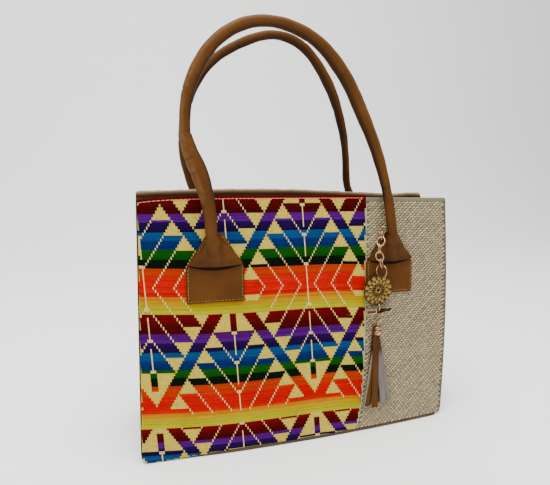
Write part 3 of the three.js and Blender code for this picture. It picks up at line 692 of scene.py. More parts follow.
# The canvas: short yarn floats that step up to the right.
CANVAS_PERIOD, CANVAS_ROW, CANVAS_SHIFT = 5.3, 2.75, 3.2
PILL_LENGTH, PILL_WIDTH, PILL_HEIGHT = 4.5, 2.45, 1.15
CANVAS_LIGHT, CANVAS_DARK = "a99c7a", "776c58"
# The gap and edge colours are darkened partly as painted shade, and the hem groove colour is painted shade.
CANVAS_GAP, CANVAS_HEM, CANVAS_EDGE, HEM_GROOVE_SHADE = "564c3b", "726e57", "5c5a48", "261f15"
HEM, EDGE_BAND, SEAM_BAND, TOP_CORNER = 4.6, 4.4, 1.6, 3.2
# Distance of the first and last rows of floats from the base and the hem, and of a float from the seam.
FIRST_FLOATS, LAST_FLOATS, SEAM_CLEAR = 1.2, 1.4, 2.3
CANVAS_BACK = -0.45
# Columns and rows of floats that the back can hold.
FLOATS_ACROSS, FLOAT_ROWS = (-110, 50), 110
# The side edges of the panels are rounded, and the front is drawn under the base at its left end.
EDGE_ROUND = 1.8
UNDER_LEFT, UNDER_LENGTH = 3.8, 90


def front_low(x):
    """Lower edge of the front, which reaches the ground at its left end."""
    return lerp(0.5, PANEL_LOW, smoothstep((x + BASE_WIDTH / 2) / UNDER_LENGTH))


def make_panel(name, left, right, top, low, face, proud, finish, columns, rows, rounded, shade):
    """A cloth panel between two sides, with a rounded top edge and rounded outer side edges."""
    near = np.array([0, 0.25, 0.7, 1.2, 1.8, 2.6, 3.4]) / (right(PANEL_TOP) - left(PANEL_TOP))
    shares = np.unique(np.r_[near, np.linspace(near[-1], 1 - near[-1], columns), 1 - near])

    def place(share, z, t):
        x = lerp(left(z), right(z), share)
        inset = np.minimum(x - left(z) if rounded[0] else np.inf, right(z) - x if rounded[1] else np.inf)
        folded_hem = max(0, -proud) * smoothstep((z - top(x) + HEM + 0.3) / 0.6)
        depth = panel_depth(x, z) + lerp(proud + folded_hem, -PANEL_WALL, t)
        depth = depth - corner_drop(EDGE_ROUND, inset) * (1 - t)
        return np.stack([x, face * depth, z], axis=-1)

    def level(share):
        return lerp(left(PANEL_TOP), right(PANEL_TOP), share)

    rings = wall_rings(shares, lambda u: top(level(u)), place, PANEL_WALL + proud, rows,
                       lambda u: low(level(u)))
    points, faces = loft(rings)
    return add_mesh(name, points, faces, finish, shade=shade(points))


def left_edge(z):
    return -half_width_at(z, -1)


def right_edge(z):
    return half_width_at(z, 1)


def seam_left(z):
    return seam_at(z) - GAP / 2


def seam_right(z):
    return seam_at(z) + GAP / 2


GROUND_PROUD, LAID_PROUD, HEM_PROUD = 0.1, 0.05, 0.55
# Floats overlap their neighbours and tuck in at their ends.
FLOAT_HEIGHT, FLOAT_OVERLAP, FLOAT_TUCK, LONGEST_FLOAT = 0.6, 1.14, 0.9, 9
WARP_HEIGHT, WARP_OVERLAP, LINE_SHARE = 0.5, (1.06, 1.02), 0.62
TURNED_HEM = 3
HEM_STITCH, HEM_STITCH_START, HEM_STITCH_PITCH, HEM_STITCH_DYE = (3.6, 0.7, 0.4), -176, 4.4, "d8806a"
WEAVE_RIM, RIM_BROWN = 1.5, "2c1808"
# Cells from the axis and rows from the mirror line that the panel can hold.
CELLS_ON_PANEL, ROWS_ON_PANEL = (-96, 42), (-33, 59)


def weave_shade(points):
    """The ground is cream, with the last picks turned over its top edge and a plain lining inside."""
    x, z = points[:, 0], points[:, 2]
    inside = -points[:, 1] < panel_depth(x, z) - PANEL_WALL / 2
    hem = (z > weave_top(x) - TURNED_HEM) & ~inside
    colours = np.where(hem[:, None], linear(HEM_MAROON), linear(CREAM))
    colours[x - left_edge(z) < WEAVE_RIM] = linear(RIM_BROWN)
    colours[inside] = linear(LINING)
    return colours


def place_threads(c, w, proud):
    x, z = cloth_to_panel(c, w)
    ahead_x, ahead_z = cloth_to_panel(c + 0.5, w)
    at = front_point(x, z, proud)
    return at, front_point(ahead_x, ahead_z, proud) - at, front_normal(x, z)


def row_of_chart(cells, row):
    """What shows along a row: the chart, but for the plain corner and the yellow rows."""
    shown = chart_at(cells, row + (SKIPPED_ROWS if row > LAST_ROW else 0))
    level = MIRROR_Z - row * ROW
    if level > PLAIN_CORNER[1]:
        shown = np.where(AXIS_X + cells * CELL < PLAIN_CORNER[0], COLOURED, shown)
    if UPPER_YELLOW[0] > level > UPPER_YELLOW[1]:
        return np.where(shown == FILLED, COLOURED, shown)
    if LOWER_YELLOW[0] > level > LOWER_YELLOW[1]:
        return np.full_like(shown, COLOURED)
    return shown


def float_runs(coloured):
    """First cell of each float in a pick and the cell after its last. A float that is broken off runs on
    under the next."""
    start = None
    for i, picked in enumerate([*coloured, False]):
        if start is not None and (not picked or i - start >= LONGEST_FLOAT):
            yield start, i + 1 if picked else i
            start = None
        if picked and start is None:
            start = i


def chart_threads():
    """Middle, row, length and pick of every float, and place, row and kind of every cream knot."""
    floats, knots = [], []
    cells = np.arange(*CELLS_ON_PANEL)
    c = AXIS_X + cells * CELL
    for row in range(*ROWS_ON_PANEL):
        shown = row_of_chart(cells, row)
        level = MIRROR_Z - row * ROW
        for pick in range(PICKS):
            w = level + ((PICKS - 1) / 2 - pick) * ROW / PICKS
            x, z = cloth_to_panel(c, np.full(c.shape, w))
            inside = (x > left_edge(z) + WEAVE_RIM + 0.5) & (x < seam_left(z) - 0.8)
            inside &= (z > front_low(x) + 0.5) & (z < weave_top(x) - 0.4)
            hem = z > weave_top(x) - TURNED_HEM
            for start, end in float_runs(inside & ((shown == COLOURED) | hem)):
                floats.append((c[start:end].mean(), w, (end - start) * CELL, row * PICKS + pick))
            # The first two picks set two knots side by side in each half of a cream cell.
            for i in np.nonzero(inside & (shown != COLOURED) & ~hem)[0] if pick < 2 else ():
                beside = (LINE_SHARE if shown[i] == LINE else 1) / 4
                knots += [(c[i] + side * CELL, level + (0.25 - 0.5 * pick) * ROW, shown[i])
                          for side in (-beside, beside)]
    return np.array(floats), np.array(knots)


def make_brocade():
    ground = make_panel("brocade_ground", left_edge, seam_left, weave_top, front_low, -1, GROUND_PROUD,
                        GROUND_CLOTH, 60, 38, (True, False), weave_shade)
    belongs(ground, "weave", "front_weave")
    floats, knots = chart_threads()
    c, w, runs, picks = floats.T
    dyes = 1 + 0.1 * CHANCE.standard_normal(400)[(picks + 200).astype(int)]
    dyes = dyes + 0.05 * CHANCE.standard_normal(len(runs))
    shades = np.clip(pick_colours(w) * dyes[:, None], 0, 1)
    laid = lay_threads("brocade_floats", FLOAT_STATIONS, BROAD, BROCADE, *place_threads(c, w, LAID_PROUD),
                       1, ROW / PICKS * FLOAT_OVERLAP, FLOAT_HEIGHT, runs + FLOAT_TUCK, shades)
    belongs(laid, "weave")
    kinds = (("pale_warps", FILLED, CREAM, 1), ("pale_lines", LINE, LINE_CREAM, LINE_SHARE))
    for name, kind, colour, wide in kinds:
        c, w = knots[knots[:, 2] == kind, :2].T
        shades = np.clip(linear(colour) * (1 + 0.1 * CHANCE.standard_normal((len(c), 1))), 0, 1)
        at, across, out = place_threads(c, w, LAID_PROUD)
        length, width = ROW / 2 * WARP_OVERLAP[0], wide * CELL / 2 * WARP_OVERLAP[1]
        laid = lay_threads(name, PILL_STATIONS, PEAKED, CREAM_YARN, at, np.cross(across, out), out,
                           length, width, WARP_HEIGHT, np.ones(len(c)), shades)
        belongs(laid, "weave")
    x = np.arange(HEM_STITCH_START, seam_at(PANEL_TOP) - 3, HEM_STITCH_PITCH)
    z = weave_top(x) - TURNED_HEM
    at = front_point(x, z, HEM_PROUD)
    along = front_point(x + 0.5, weave_top(x + 0.5) - TURNED_HEM, HEM_PROUD) - at
    shades = np.tile(linear(HEM_STITCH_DYE), (len(x), 1))
    belongs(lay_threads("hem_stitches", PILL_STATIONS, PEAKED, SEWING, at, along, front_normal(x, z),
                        *HEM_STITCH, np.ones(len(x)), shades), "weave")


make_brocade()


def canvas_top(x):
    """The front's top edge, rounded off at its right corner."""
    return front_top(x) - corner_drop(TOP_CORNER, right_edge(PANEL_TOP) - x)


def canvas_shade(top, left, right, face):
    def shade(points):
        x, z = points[:, 0], points[:, 2]
        below_top = top(x) - z
        inside = face * points[:, 1] < panel_depth(x, z) - PANEL_WALL / 2
        # The ground between the floats is dark, partly as painted shade between them.
        colours = np.tile(linear(CANVAS_GAP), (len(points), 1))
        # Bands along the side edges are darker, partly as painted shade where the canvas turns.
        colours[np.minimum(x - left(z), right(z) - x) < EDGE_BAND] = linear(CANVAS_EDGE)
        colours[x - left(z) < SEAM_BAND] = linear(CANVAS_LIGHT)
        colours[below_top < HEM + CANVAS_ROW] = linear(CANVAS_DARK)
        # A line of painted shade in the groove under the hem.
        colours[below_top < HEM + 0.6] = linear(HEM_GROOVE_SHADE)
        colours[below_top < HEM - 0.3] = linear(CANVAS_HEM)
        colours[inside] = linear(LINING)
        return colours
    return shade


def lay_canvas(name, face, left, right, top, outline):
    """Rows of short floats from the base up to the hem, each row stepped to the right."""
    count, row = np.meshgrid(np.arange(*FLOATS_ACROSS), np.arange(FLOAT_ROWS))
    x = count * CANVAS_PERIOD + row * CANVAS_SHIFT
    x = x + 0.05 * CHANCE.standard_normal(x.shape)
    first = PANEL_LOW + FIRST_FLOATS
    reach = top(x) - HEM - LAST_FLOATS - first
    rows = np.round(np.median(reach) / CANVAS_ROW)
    z = first + row * reach / rows + 0.06 * CHANCE.standard_normal(x.shape)
    inside = (x > left(z) + SEAM_CLEAR) & (x < right(z) - EDGE_BAND) & (row <= rows)
    x, z, pale = x[inside], z[inside], count[inside] % 2
    at = front_point(x, z, CANVAS_BACK)
    out = front_normal(x, z)
    along = front_point(x + 0.5, z + 0.12, CANVAS_BACK) - at
    if face > 0:
        at, out, along = (v * np.array([1, -1, 1]) for v in (at, out, along))
    mix = np.clip(0.45 + 0.3 * pale + 0.12 * CHANCE.standard_normal(len(x)), 0, 1)
    shades = lerp(linear(CANVAS_DARK), linear(CANVAS_LIGHT), mix[:, None])
    shares = 1 + 0.08 * CHANCE.standard_normal(len(x))
    return lay_threads(name, PILL_STATIONS, outline, CANVAS_YARN, at, along, out,
                       PILL_LENGTH, PILL_WIDTH, PILL_HEIGHT, shares, shades)


def level_low(x):
    return PANEL_LOW + 0 * x


def make_canvas():
    front = make_panel("canvas_ground", seam_right, right_edge, canvas_top, level_low, -1, CANVAS_BACK,
                       CANVAS_GROUND, 40, 38, (False, True),
                       canvas_shade(canvas_top, seam_right, right_edge, -1))
    belongs(front, "canvas", "front_canvas")
    belongs(lay_canvas("canvas_yarns", -1, seam_right, right_edge, canvas_top, ROUND), "canvas")
    back = make_panel("back_ground", left_edge, right_edge, back_top, level_low, 1, CANVAS_BACK,
                      CANVAS_GROUND, 70, 38, (True, True), canvas_shade(back_top, left_edge, right_edge, 1))
    belongs(back, "canvas", "back_canvas")
    belongs(lay_canvas("back_yarns", 1, left_edge, right_edge, back_top, PEAKED), "canvas")


make_canvas()


# Gussets, base and the back's rolled binding

def make_gusset(node, side):
    corner = side * MOUTH_WIDTH / 2

    def crest(u):
        drop = lerp(GUSSET_TOP_DROP, 0.7, smoothstep((u - 0.75) / 0.2))
        return lerp(front_top(corner), back_top(corner), u) - drop

    def place(u, z, t):
        edge = half_width_at(z, side) - GUSSET_INSET
        across = 2 * u - 1
        rise = np.clip((z - PANEL_LOW) / (crest(u) - PANEL_LOW), 0, 1)
        bend = (1 - math.sqrt(across**2 + 0.004)) ** 1.2 if abs(across) < 0.99 else 0
        fold = GUSSET_FOLD * rise ** (2 / 1.4) * bend
        sag = 0.5 * np.sin(z / 31 + 2.1 * across) * (1 - across**2) * rise
        reach = panel_depth(edge, z) - PANEL_WALL - GAP
        x = edge - fold - sag - GUSSET_WALL * t
        return np.stack([side * x, across * reach, z], axis=-1)

    columns = np.linspace(0, 1, 33)
    rings = wall_rings(columns, crest, place, GUSSET_WALL, 30)
    points, faces = loft(rings)
    # Painted shade in the fold's valley, which is also a little paler, and painted shade on the inner face
    # towards the top.
    valley = bell(points[:, 1], 5) * np.clip(points[:, 2] / 270, 0, 1)
    crests = np.repeat([crest(u) for u in columns], rings.shape[1])
    inner = np.tile(np.arange(rings.shape[1]) > rings.shape[1] * 0.4, len(columns))
    dim = 0.7 * inner * smoothstep((points[:, 2] - crests + 60) / 40)
    burnish = np.maximum(0.25 * valley, dim)
    piece = add_mesh("folded_" + node, points, faces, LEATHER, rub=0.15 * valley, burnish=burnish)
    belongs(piece, "leather", node)


def inset_ring(outline, distance):
    """A convex outline moved inward by a distance."""
    before, after = np.roll(outline, 1, axis=0), np.roll(outline, -1, axis=0)
    first, second = unit(outline - before), unit(after - outline)
    middle = unit(first + second)
    inward = np.stack([-middle[:, 1], middle[:, 0]], axis=1)
    stretch = np.clip(np.sum(first * middle, axis=1), 0.5, 1)
    return outline + inward * (distance / stretch)[:, None]


def arc(cx, cy, radius, start, end, steps=6):
    angle = np.radians(np.linspace(start, end, steps))
    return np.stack([cx + radius * np.cos(angle), cy + radius * np.sin(angle)], axis=1)


def make_base():
    radius = CORNER_RADIUS
    left, right = (BASE_WIDTH / 2 - radius - BASE_INSET[side] for side in (-1, 1))
    x = np.linspace(-left, right, 41)[1:-1]

    def front(at):
        # The cloth is drawn under the base at the left end.
        return panel_depth(at, 0) + GAP - UNDER_LEFT * (1 - smoothstep((at + BASE_WIDTH / 2) / UNDER_LENGTH))

    def back(at):
        return panel_depth(at, 0) + GAP

    outline = np.vstack([
        arc(-left, radius - front(-left), radius, 180, 270),
        np.stack([x, -front(x)], axis=1),
        arc(right, radius - front(right), radius, 270, 360),
        arc(right, back(right) - radius, radius, 0, 90),
        np.stack([x[::-1], back(x[::-1])], axis=1),
        arc(-left, back(-left) - radius, radius, 90, 180),
    ])
    profile = ((0, 1.3), (0.15, 0.6), (0.7, 0.1), (1.5, 0), (2.4, 0), (3.1, 0.25), (3.4, 0.9))
    rings = [np.c_[inset_ring(outline, inset), np.full(len(outline), z)] for z, inset in profile]
    points, faces = loft(rings)
    # The top of the board is darker.
    burnish = np.where(points[:, 2] > 2.5, 0.25, 0)
    belongs(add_mesh("base_board", points, faces, BASE_LEATHER, burnish=burnish), "leather", "base")


BINDING_ROLL, BINDING_INSIDE, BINDING_OUTSIDE, BINDING_LEATHER = 5.6, 24, 7, 1.3
BINDING_END_CLEARANCE, BINDING_END_DROP = 1, 0.2


def make_binding():
    outside = GAP + BINDING_LEATHER
    inside = -PANEL_WALL - GAP - BINDING_LEATHER
    middle, radius = (outside + inside) / 2, (outside - inside) / 2
    half = MOUTH_WIDTH / 2
    facing_half = half - GUSSET_INSET - GUSSET_WALL - BINDING_END_CLEARANCE
    ends = np.r_[half - np.array([0, 0.6, 1.6, 2.6]), facing_half + 0.4]
    xs = np.r_[-ends, np.linspace(-facing_half, facing_half, 90), ends[::-1]]
    turn = np.radians(np.linspace(8, 172, 12))
    rings = []
    for x in xs:
        drop = BINDING_INSIDE if abs(x) <= facing_half else BINDING_END_DROP
        ease = np.clip((half - abs(x)) / 3, 0, 1)
        crown = BINDING_ROLL * (0.45 + 0.55 * math.sqrt(1 - (1 - ease) ** 2))
        crown *= 1 + 0.03 * math.sin(x / 7.0) + 0.03 * math.sin(x / 3.1 + 1)
        wave = 0.16 * math.sin(x / 11.0) + 0.1 * math.sin(x / 4.3)
        section = [(outside, -BINDING_OUTSIDE), (outside + 0.15, -BINDING_OUTSIDE / 2), (outside, 0)]
        section += [(middle + radius * math.cos(a), crown * math.sin(a)) for a in turn]
        section += [(inside, 0)]
        section += [(inside - 0.2 - wave * s, -drop * s) for s in (0.25, 0.5, 0.75)]
        section += [(inside, -drop), (inside + BINDING_LEATHER, -drop), (inside + BINDING_LEATHER, GAP),
                    (outside - BINDING_LEATHER, GAP), (outside - BINDING_LEATHER, -BINDING_OUTSIDE)]
        out, up = np.array(section).T
        z = back_top(x) + up
        rings.append(np.stack([np.full(len(out), x), panel_depth(x, z) + out, z], axis=1))
    points, faces = loft(rings)
    up = points[:, 2] - back_top(points[:, 0])
    # The top of the roll is painted pale as a painted highlight, a painted shadow falls under the roll, and
    # the facing below is darker.
    rub = smoothstep((up / BINDING_ROLL - 0.5) / 0.4) * 0.9
    shadow = (1 - smoothstep((up - 0.2) / (0.5 * BINDING_ROLL))) * smoothstep((up + 9) / 9)
    burnish = 0.7 * shadow + 0.3 * (up < 0)
    belongs(add_mesh("rolled_binding", points, faces, BINDING_TAN, 40, rub=rub, burnish=burnish),
            "leather", "back_binding")


make_gusset("gusset_left", -1)
make_gusset("gusset_right", 1)
make_base()
make_binding()


# Handles with flared ends on sewn patches

PATCHES = {
    # middle of the patch, height of the lip, side of the bag, lean of the neck
    "front_left": (-103, 206, -1, -4.5),
    "front_right": (102.5, 202.5, -1, -1),
    "back_left": (-103, 204, 1, -4),
    "back_right": (102, 204, 1, -3),
}
PATCH_HALF, PATCH_DROP, PATCH_APEX, PATCH_APEX_HALF = 30.5, 39, 34, 8
PATCH_SHOULDER, PATCH_CORNER, PATCH_THICKNESS = 3, 2.5, 2
STITCH_INSET, STITCH_PITCH, STITCH_SIZE, STITCH_DYES = 2.2, 3.6, (2.5, 0.8, 0.55), ("6c4c2a", "8c6a42")
SLIT_WIDTH, LIP_SMILE = 3.6, 1.7
# Height above the lip, distance from the panel, half width, swell outward, depth behind.
FLARE = (
    (-1.4, 3.7, 27.4, 3.4, 0.7),
    (0, 3.7, 28.6, 6.2, 0.7),
    (6, 3.7, 25, 8, 0.7),
    (13, 3.8, 19.2, 8.8, 0.8),
    (19, 4.2, 13.4, 9.2, 1),
    (24.5, 5.6, 8.6, 8.6, 2.4),
    (31, 9.2, 5.7, 5.8, 5.2),
)
# Centreline and width of each handle between its necks.
FRONT_HANDLE = (
    (-109.5, -39.5, 266, 13.5), (-118, -35, 300, 17.5), (-127, -31.5, 323, 15.5), (-131.2, -28, 345, 10.8),
    (-125.5, -22.5, 385, 13), (-101, -16, 428, 13), (-68, -13, 450.5, 12.2), (-32, -12, 455, 12),
    (9, -14.5, 440.5, 13.5), (41, -19, 407.5, 15), (65.3, -26, 361, 14.5), (80.4, -31, 326, 12.9),
    (93.5, -38, 279, 10.9),
)
BACK_HANDLE = (
    (-112, 39.5, 268, 11), (-120.4, 36.5, 295, 11.2), (-127, 33, 325, 11), (-122, 27.5, 375, 10.4),
    (-101.5, 21.5, 413, 10.2), (-66, 17, 438, 10), (-28, 15, 449.5, 9.8), (6, 16.5, 440, 10.6),
    (42, 22, 401, 12), (64.5, 28.5, 353, 10), (73, 33.5, 322, 9), (79.5, 38, 285, 9.4), (91, 41, 262, 10.5),
)
# Creases across a handle: share of its length, side it bites from in degrees, depth, and width.
CREASES = (
    (0.16, 200, 0.9, 1.6), (0.185, 150, 0.7, 1.4), (0.225, 20, 0.8, 1.5), (0.29, 200, 0.8, 1.3),
    (0.315, 10, 0.6, 1.3), (0.43, 240, 0.5, 1.2), (0.56, 300, 0.5, 1.3), (0.7, 160, 0.5, 1.4),
    (0.86, 30, 0.6, 1.4),
)
TUBE_SIDES, TUBE_STEPS, ABOVE_HOOD = 64, 260, 40
RIDGE_HALF, WING_SHARE = 7.2, 0.42
LOOP_MIDDLE = np.array([-22, 0, 320])


class Spot:
    """A place on a panel with its directions across, out from and up along it."""

    def __init__(self, x, z, face):
        step = 0.5
        proud = WEAVE_PROUD if face < 0 and x < SEAM_X else 0

        def at(px, pz):
            return np.array([px, face * (panel_depth(px, pz) + proud), pz])

        self.point = at(x, z)
        self.across = unit(at(x + step, z) - at(x - step, z))
        slope = at(x, z + step) - at(x, z - step)
        self.up = unit(slope - self.across * slope.dot(self.across))
        self.out = np.cross(self.up, self.across) * face

    def place(self, across, out, up):
        across, out, up = (np.asarray(v, float)[..., None] for v in (across, out, up))
        return self.point + across * self.across + out * self.out + up * self.up


SPOTS = {name: Spot(*row[:3]) for name, row in PATCHES.items()}


def patch_half_width(up):
    """Half the width of a patch at a height over its lip line."""
    slant = (PATCH_HALF - PATCH_SHOULDER - PATCH_APEX_HALF) / (PATCH_APEX - PATCH_SHOULDER)
    above = PATCH_HALF - PATCH_SHOULDER - slant * (up - PATCH_SHOULDER)
    square = PATCH_HALF - corner_drop(PATCH_CORNER, up + PATCH_DROP)
    blend = np.clip(0.5 + (above - square) / 3, 0, 1)
    return lerp(above, square, blend) - 1.5 * blend * (1 - blend)


def patch_edge_distance(across, up):
    """Distance of a place on a patch from its nearest edge."""
    slope = (PATCH_HALF - PATCH_SHOULDER - PATCH_APEX_HALF) / (PATCH_APEX - PATCH_SHOULDER)
    lean = np.where(up > -PATCH_SHOULDER, math.hypot(1, slope), 1)
    side = (patch_half_width(up) - np.abs(across)) / lean
    return np.minimum(side, np.minimum(up + PATCH_DROP, PATCH_APEX - up))


def make_patch(name):
    spot = SPOTS[name]
    rim = np.array([0, 0.2, 0.5, 0.9, 1.4, 1.9, 2.3, 2.7, 3.2, 4])
    rows = np.unique(np.r_[np.maximum(rim, 0.02) - PATCH_DROP, np.linspace(-34, -8, 9),
                           np.linspace(-7, 3, 21), np.linspace(4, PATCH_APEX - 4, 14),
                           PATCH_APEX - np.array([3, 2.2, 1.4, 0.7, 0.2, 0.02])])
    inner = np.linspace(-1, 1, 31)
    rings, marks = [], []
    for up in rows:
        half = patch_half_width(up)
        across = np.r_[rim - half, inner[1:-1] * (half - 4), half - rim[::-1]]
        edge = np.maximum(patch_edge_distance(across, up), 0)
        thick = PATCH_THICKNESS * (0.55 + 0.45 * np.sqrt(1 - (1 - np.clip(edge / 1.1, 0, 1)) ** 2))
        groove = bell(edge - STITCH_INSET, 0.6)
        front = spot.place(across, GAP + thick - 0.3 * groove, up)
        rings.append(np.vstack([front, spot.place(across[::-1], GAP, up)]))
        # The lip of the hood shades a slit, widest in the middle.
        slit = SLIT_WIDTH * np.clip(1 - (across / FLARE[1][2]) ** 2, 0, 1)
        smile = LIP_SMILE * (across / FLARE[1][2]) ** 2
        dark = smoothstep((up - smile + 1.6 + slit) / 0.5) * (1 - smoothstep((up - 2) / 2))
        dark = dark * np.clip((PATCH_HALF - 1 - np.abs(across)) / 1.5, 0, 1)
        # The edges are darker, and the stitch groove gets painted shade.
        rim_dark = 0.35 * bell(edge, 0.5) + 0.2 * groove
        marks.append(np.r_[np.maximum(dark, rim_dark), np.full(len(across), 0.5)])
    points, faces = loft(rings)
    belongs(add_mesh("sewn_patch_" + name, points, faces, PATCH_LEATHER, 60, burnish=np.ravel(marks),
                     rub=np.full(len(points), 0.12)), "leather", "patch_" + name)


def stitch_row(path, pitch):
    """Even stitch places and directions along an open path."""
    length = np.sum(np.linalg.norm(np.diff(path, axis=0), axis=1))
    count = max(2, int(round(length / pitch)))
    even = even_steps(path, 2 * count + 1)
    return even[1::2], even[2::2] - even[:-1:2]


def sew_patches():
    places, along, out = [], [], []
    for name, spot in SPOTS.items():
        up = np.linspace(PATCH_APEX - 3, STITCH_INSET - PATCH_DROP + 0.01, 120)
        lean = np.where(up > -PATCH_SHOULDER, 1.18, 1)
        side = patch_half_width(up) - STITCH_INSET * lean
        seam = np.vstack([np.c_[-side, up], np.c_[side, up][::-1]])
        path = spot.place(seam[:, 0], GAP + PATCH_THICKNESS - 0.3, seam[:, 1])
        at, ahead = stitch_row(path, STITCH_PITCH)
        places.append(at)
        along.append(ahead)
        out.append(np.tile(spot.out, (len(at), 1)))
    places, along, out = (np.vstack(v) for v in (places, along, out))
    shades = lerp(*(linear(dye) for dye in STITCH_DYES), CHANCE.random((len(places), 1)))
    belongs(lay_threads("patch_stitches", PILL_STATIONS, ROUND, SEWING, places, along, out,
                        *STITCH_SIZE, np.ones(len(places)), shades), "leather")


def flare_sections(name):
    """Dense sections of a flared end from its lip to its neck."""
    spot, lean = SPOTS[name], PATCHES[name][3]
    rows = smooth_path(FLARE, 7)
    top = FLARE[-1][0]
    height, out = rows[:, 0], rows[:, 1]
    centre = spot.place(lean * np.clip(height / top, 0, 1) ** 2, out, height)
    ridge = smoothstep((height + 4) / 6)
    smile = LIP_SMILE * smoothstep((16 - height) / 16)
    return [
        dict(centre=c, outward=spot.out, half=r[2], swell=r[3], back=r[4], ridge=k, smile=s, up=spot.up,
             height=r[0])
        for c, r, k, s in zip(centre, rows, ridge, smile)
    ]


def tube_sections(rows, left, right, face):
    ends = [[*s["centre"], 2 * s["half"]] for s in (left, right)]
    knots = np.vstack([ends[0], np.array(rows, float), ends[1]])
    path = even_steps(smooth_path(knots, 40), TUBE_STEPS)
    out = np.array([0, face, 0], float)
    return [
        dict(centre=p[:3], outward=out, half=p[3] / 2, swell=p[3] / 2, back=p[3] / 2, ridge=0, smile=0,
             up=0 * out, height=ABOVE_HOOD)
        for p in path[1:-1]
    ]


def handle_ring(section, along):
    """One ring of a handle: a tube that opens into a hood with a ridge down its middle."""
    angle = 2 * np.pi * (np.arange(TUBE_SIDES) + 0.5) / TUBE_SIDES
    outward = unit(section["outward"] - along * along.dot(section["outward"]))
    side = np.cross(along, outward)
    flat = section["ridge"] * np.clip((section["half"] - 6.5) / 7, 0, 1)
    across = np.sign(np.cos(angle)) * np.abs(np.cos(angle)) ** lerp(1, 1.35, flat)
    rise = np.sin(angle)
    reach = section["half"] * across / RIDGE_HALF
    ridge = np.sqrt(np.clip(1 - reach**2, 0, 1))
    front = section["swell"] * lerp(rise, np.maximum(ridge, WING_SHARE * rise), flat)
    depth = np.where(rise > 0, front, section["back"] * rise)
    ring = section["centre"] + np.outer(section["half"] * across, side) + np.outer(depth, outward)
    ring = ring + np.outer(section["smile"] * across**2, section["up"])
    # Painted shade: a dark line runs down each foot of the ridge, and the lip and its under side are dark.
    foot = bell(np.abs(reach) - 1.08, 0.16) * flat * (rise > 0)
    near_lip = 1 - smoothstep((section["height"] - 1) / 8)
    on_lip = 1 - smoothstep((section["height"] + 0.9) / 0.9)
    return ring, np.maximum(0.225 * foot, 0.2 * near_lip + 0.8 * on_lip)


def make_handle(name, rows, left, right):
    face = PATCHES[left][2]
    rising, falling = flare_sections(left), flare_sections(right)[::-1]
    sections = rising + tube_sections(rows, rising[-1], falling[0], face) + falling
    centres = np.array([s["centre"] for s in sections])
    along = unit(np.gradient(centres, axis=0))
    walk = np.r_[0, np.cumsum(np.linalg.norm(np.diff(centres, axis=0), axis=1))]
    rings, burnish, rub = [], [], []
    angle = np.degrees(2 * np.pi * (np.arange(TUBE_SIDES) + 0.5) / TUBE_SIDES)
    for i, section in enumerate(sections):
        ring, dim = handle_ring(section, along[i])
        bite = np.zeros(TUBE_SIDES)
        for share, side, depth, width in CREASES:
            turned = np.clip(np.cos(np.radians(angle - side)), 0, 1)
            bite += depth * bell(walk[i] - share * walk[-1], width) * turned
        inward = section["centre"] - ring
        soft = 0.12 * np.sin(walk[i] / 9.0 + np.radians(2 * angle)) + 0.1 * np.sin(walk[i] / 3.7)
        pleat = 0.3 * np.sin(np.radians(angle) * 9 + 0.4 * i) * smoothstep((section["half"] - 7) / 8)
        facing_out = ring @ section["outward"] > section["centre"] @ section["outward"]
        pleat = pleat * smoothstep(section["height"] / 8) * facing_out
        rings.append(ring + unit(inward) * (bite + soft + pleat)[:, None])
        # The under side of the loop and its creases get painted shade, and its upper side a painted highlight
        # over light wear.
        toward = unit(LOOP_MIDDLE - section["centre"])
        under = -unit(inward) @ toward * smoothstep((section["centre"][2] - 255) / 30)
        # Painted shade on the falling hood.
        shaded = 0.2 * smoothstep((section["half"] - 6.5) / 5) * (i > len(sections) / 2)
        burnish.append(np.clip(dim + shaded + bite * 0.5 + 0.7 * smoothstep((under - 0.05) / 0.85), 0, 0.85))
        rub.append(0.15 + 0.6 * smoothstep((-under - 0.35) / 0.5))
    # The hoods are open below: their leather turns in at the lip and runs up inside.
    for end in (0, -1):
        section, outer = sections[end], rings[end]
        middle = outer.mean(axis=0)
        inner = middle + (outer - middle) * 0.93
        deep = middle + (inner - middle) * 0.75 + section["up"] * 9 + section["outward"] * 0.45
        turned_in = [inner + section["up"] * 0.4, deep]
        # The turned-in leather is painted dark, as painted shade inside the hood.
        dark, plain = [np.full(TUBE_SIDES, 0.7)] * 2, [np.zeros(TUBE_SIDES)] * 2
        if end == 0:
            rings, burnish, rub = turned_in[::-1] + rings, dark + burnish, plain + rub
        else:
            rings, burnish, rub = rings + turned_in, burnish + dark, rub + plain
    points, faces = loft(rings)
    piece = add_mesh("rolled_" + name, points, faces, LEATHER, burnish=np.ravel(burnish), rub=np.ravel(rub))
    belongs(piece, "leather", name)


for patch in PATCHES:
    make_patch(patch)
sew_patches()
make_handle("handle_front", FRONT_HANDLE, "front_left", "front_right")
make_handle("handle_back", BACK_HANDLE, "back_left", "back_right")


# The charm

CHARM = Spot(85, 169, -1)
TAG_FACE, TAG_FRAME_END = 8.8, -2.5


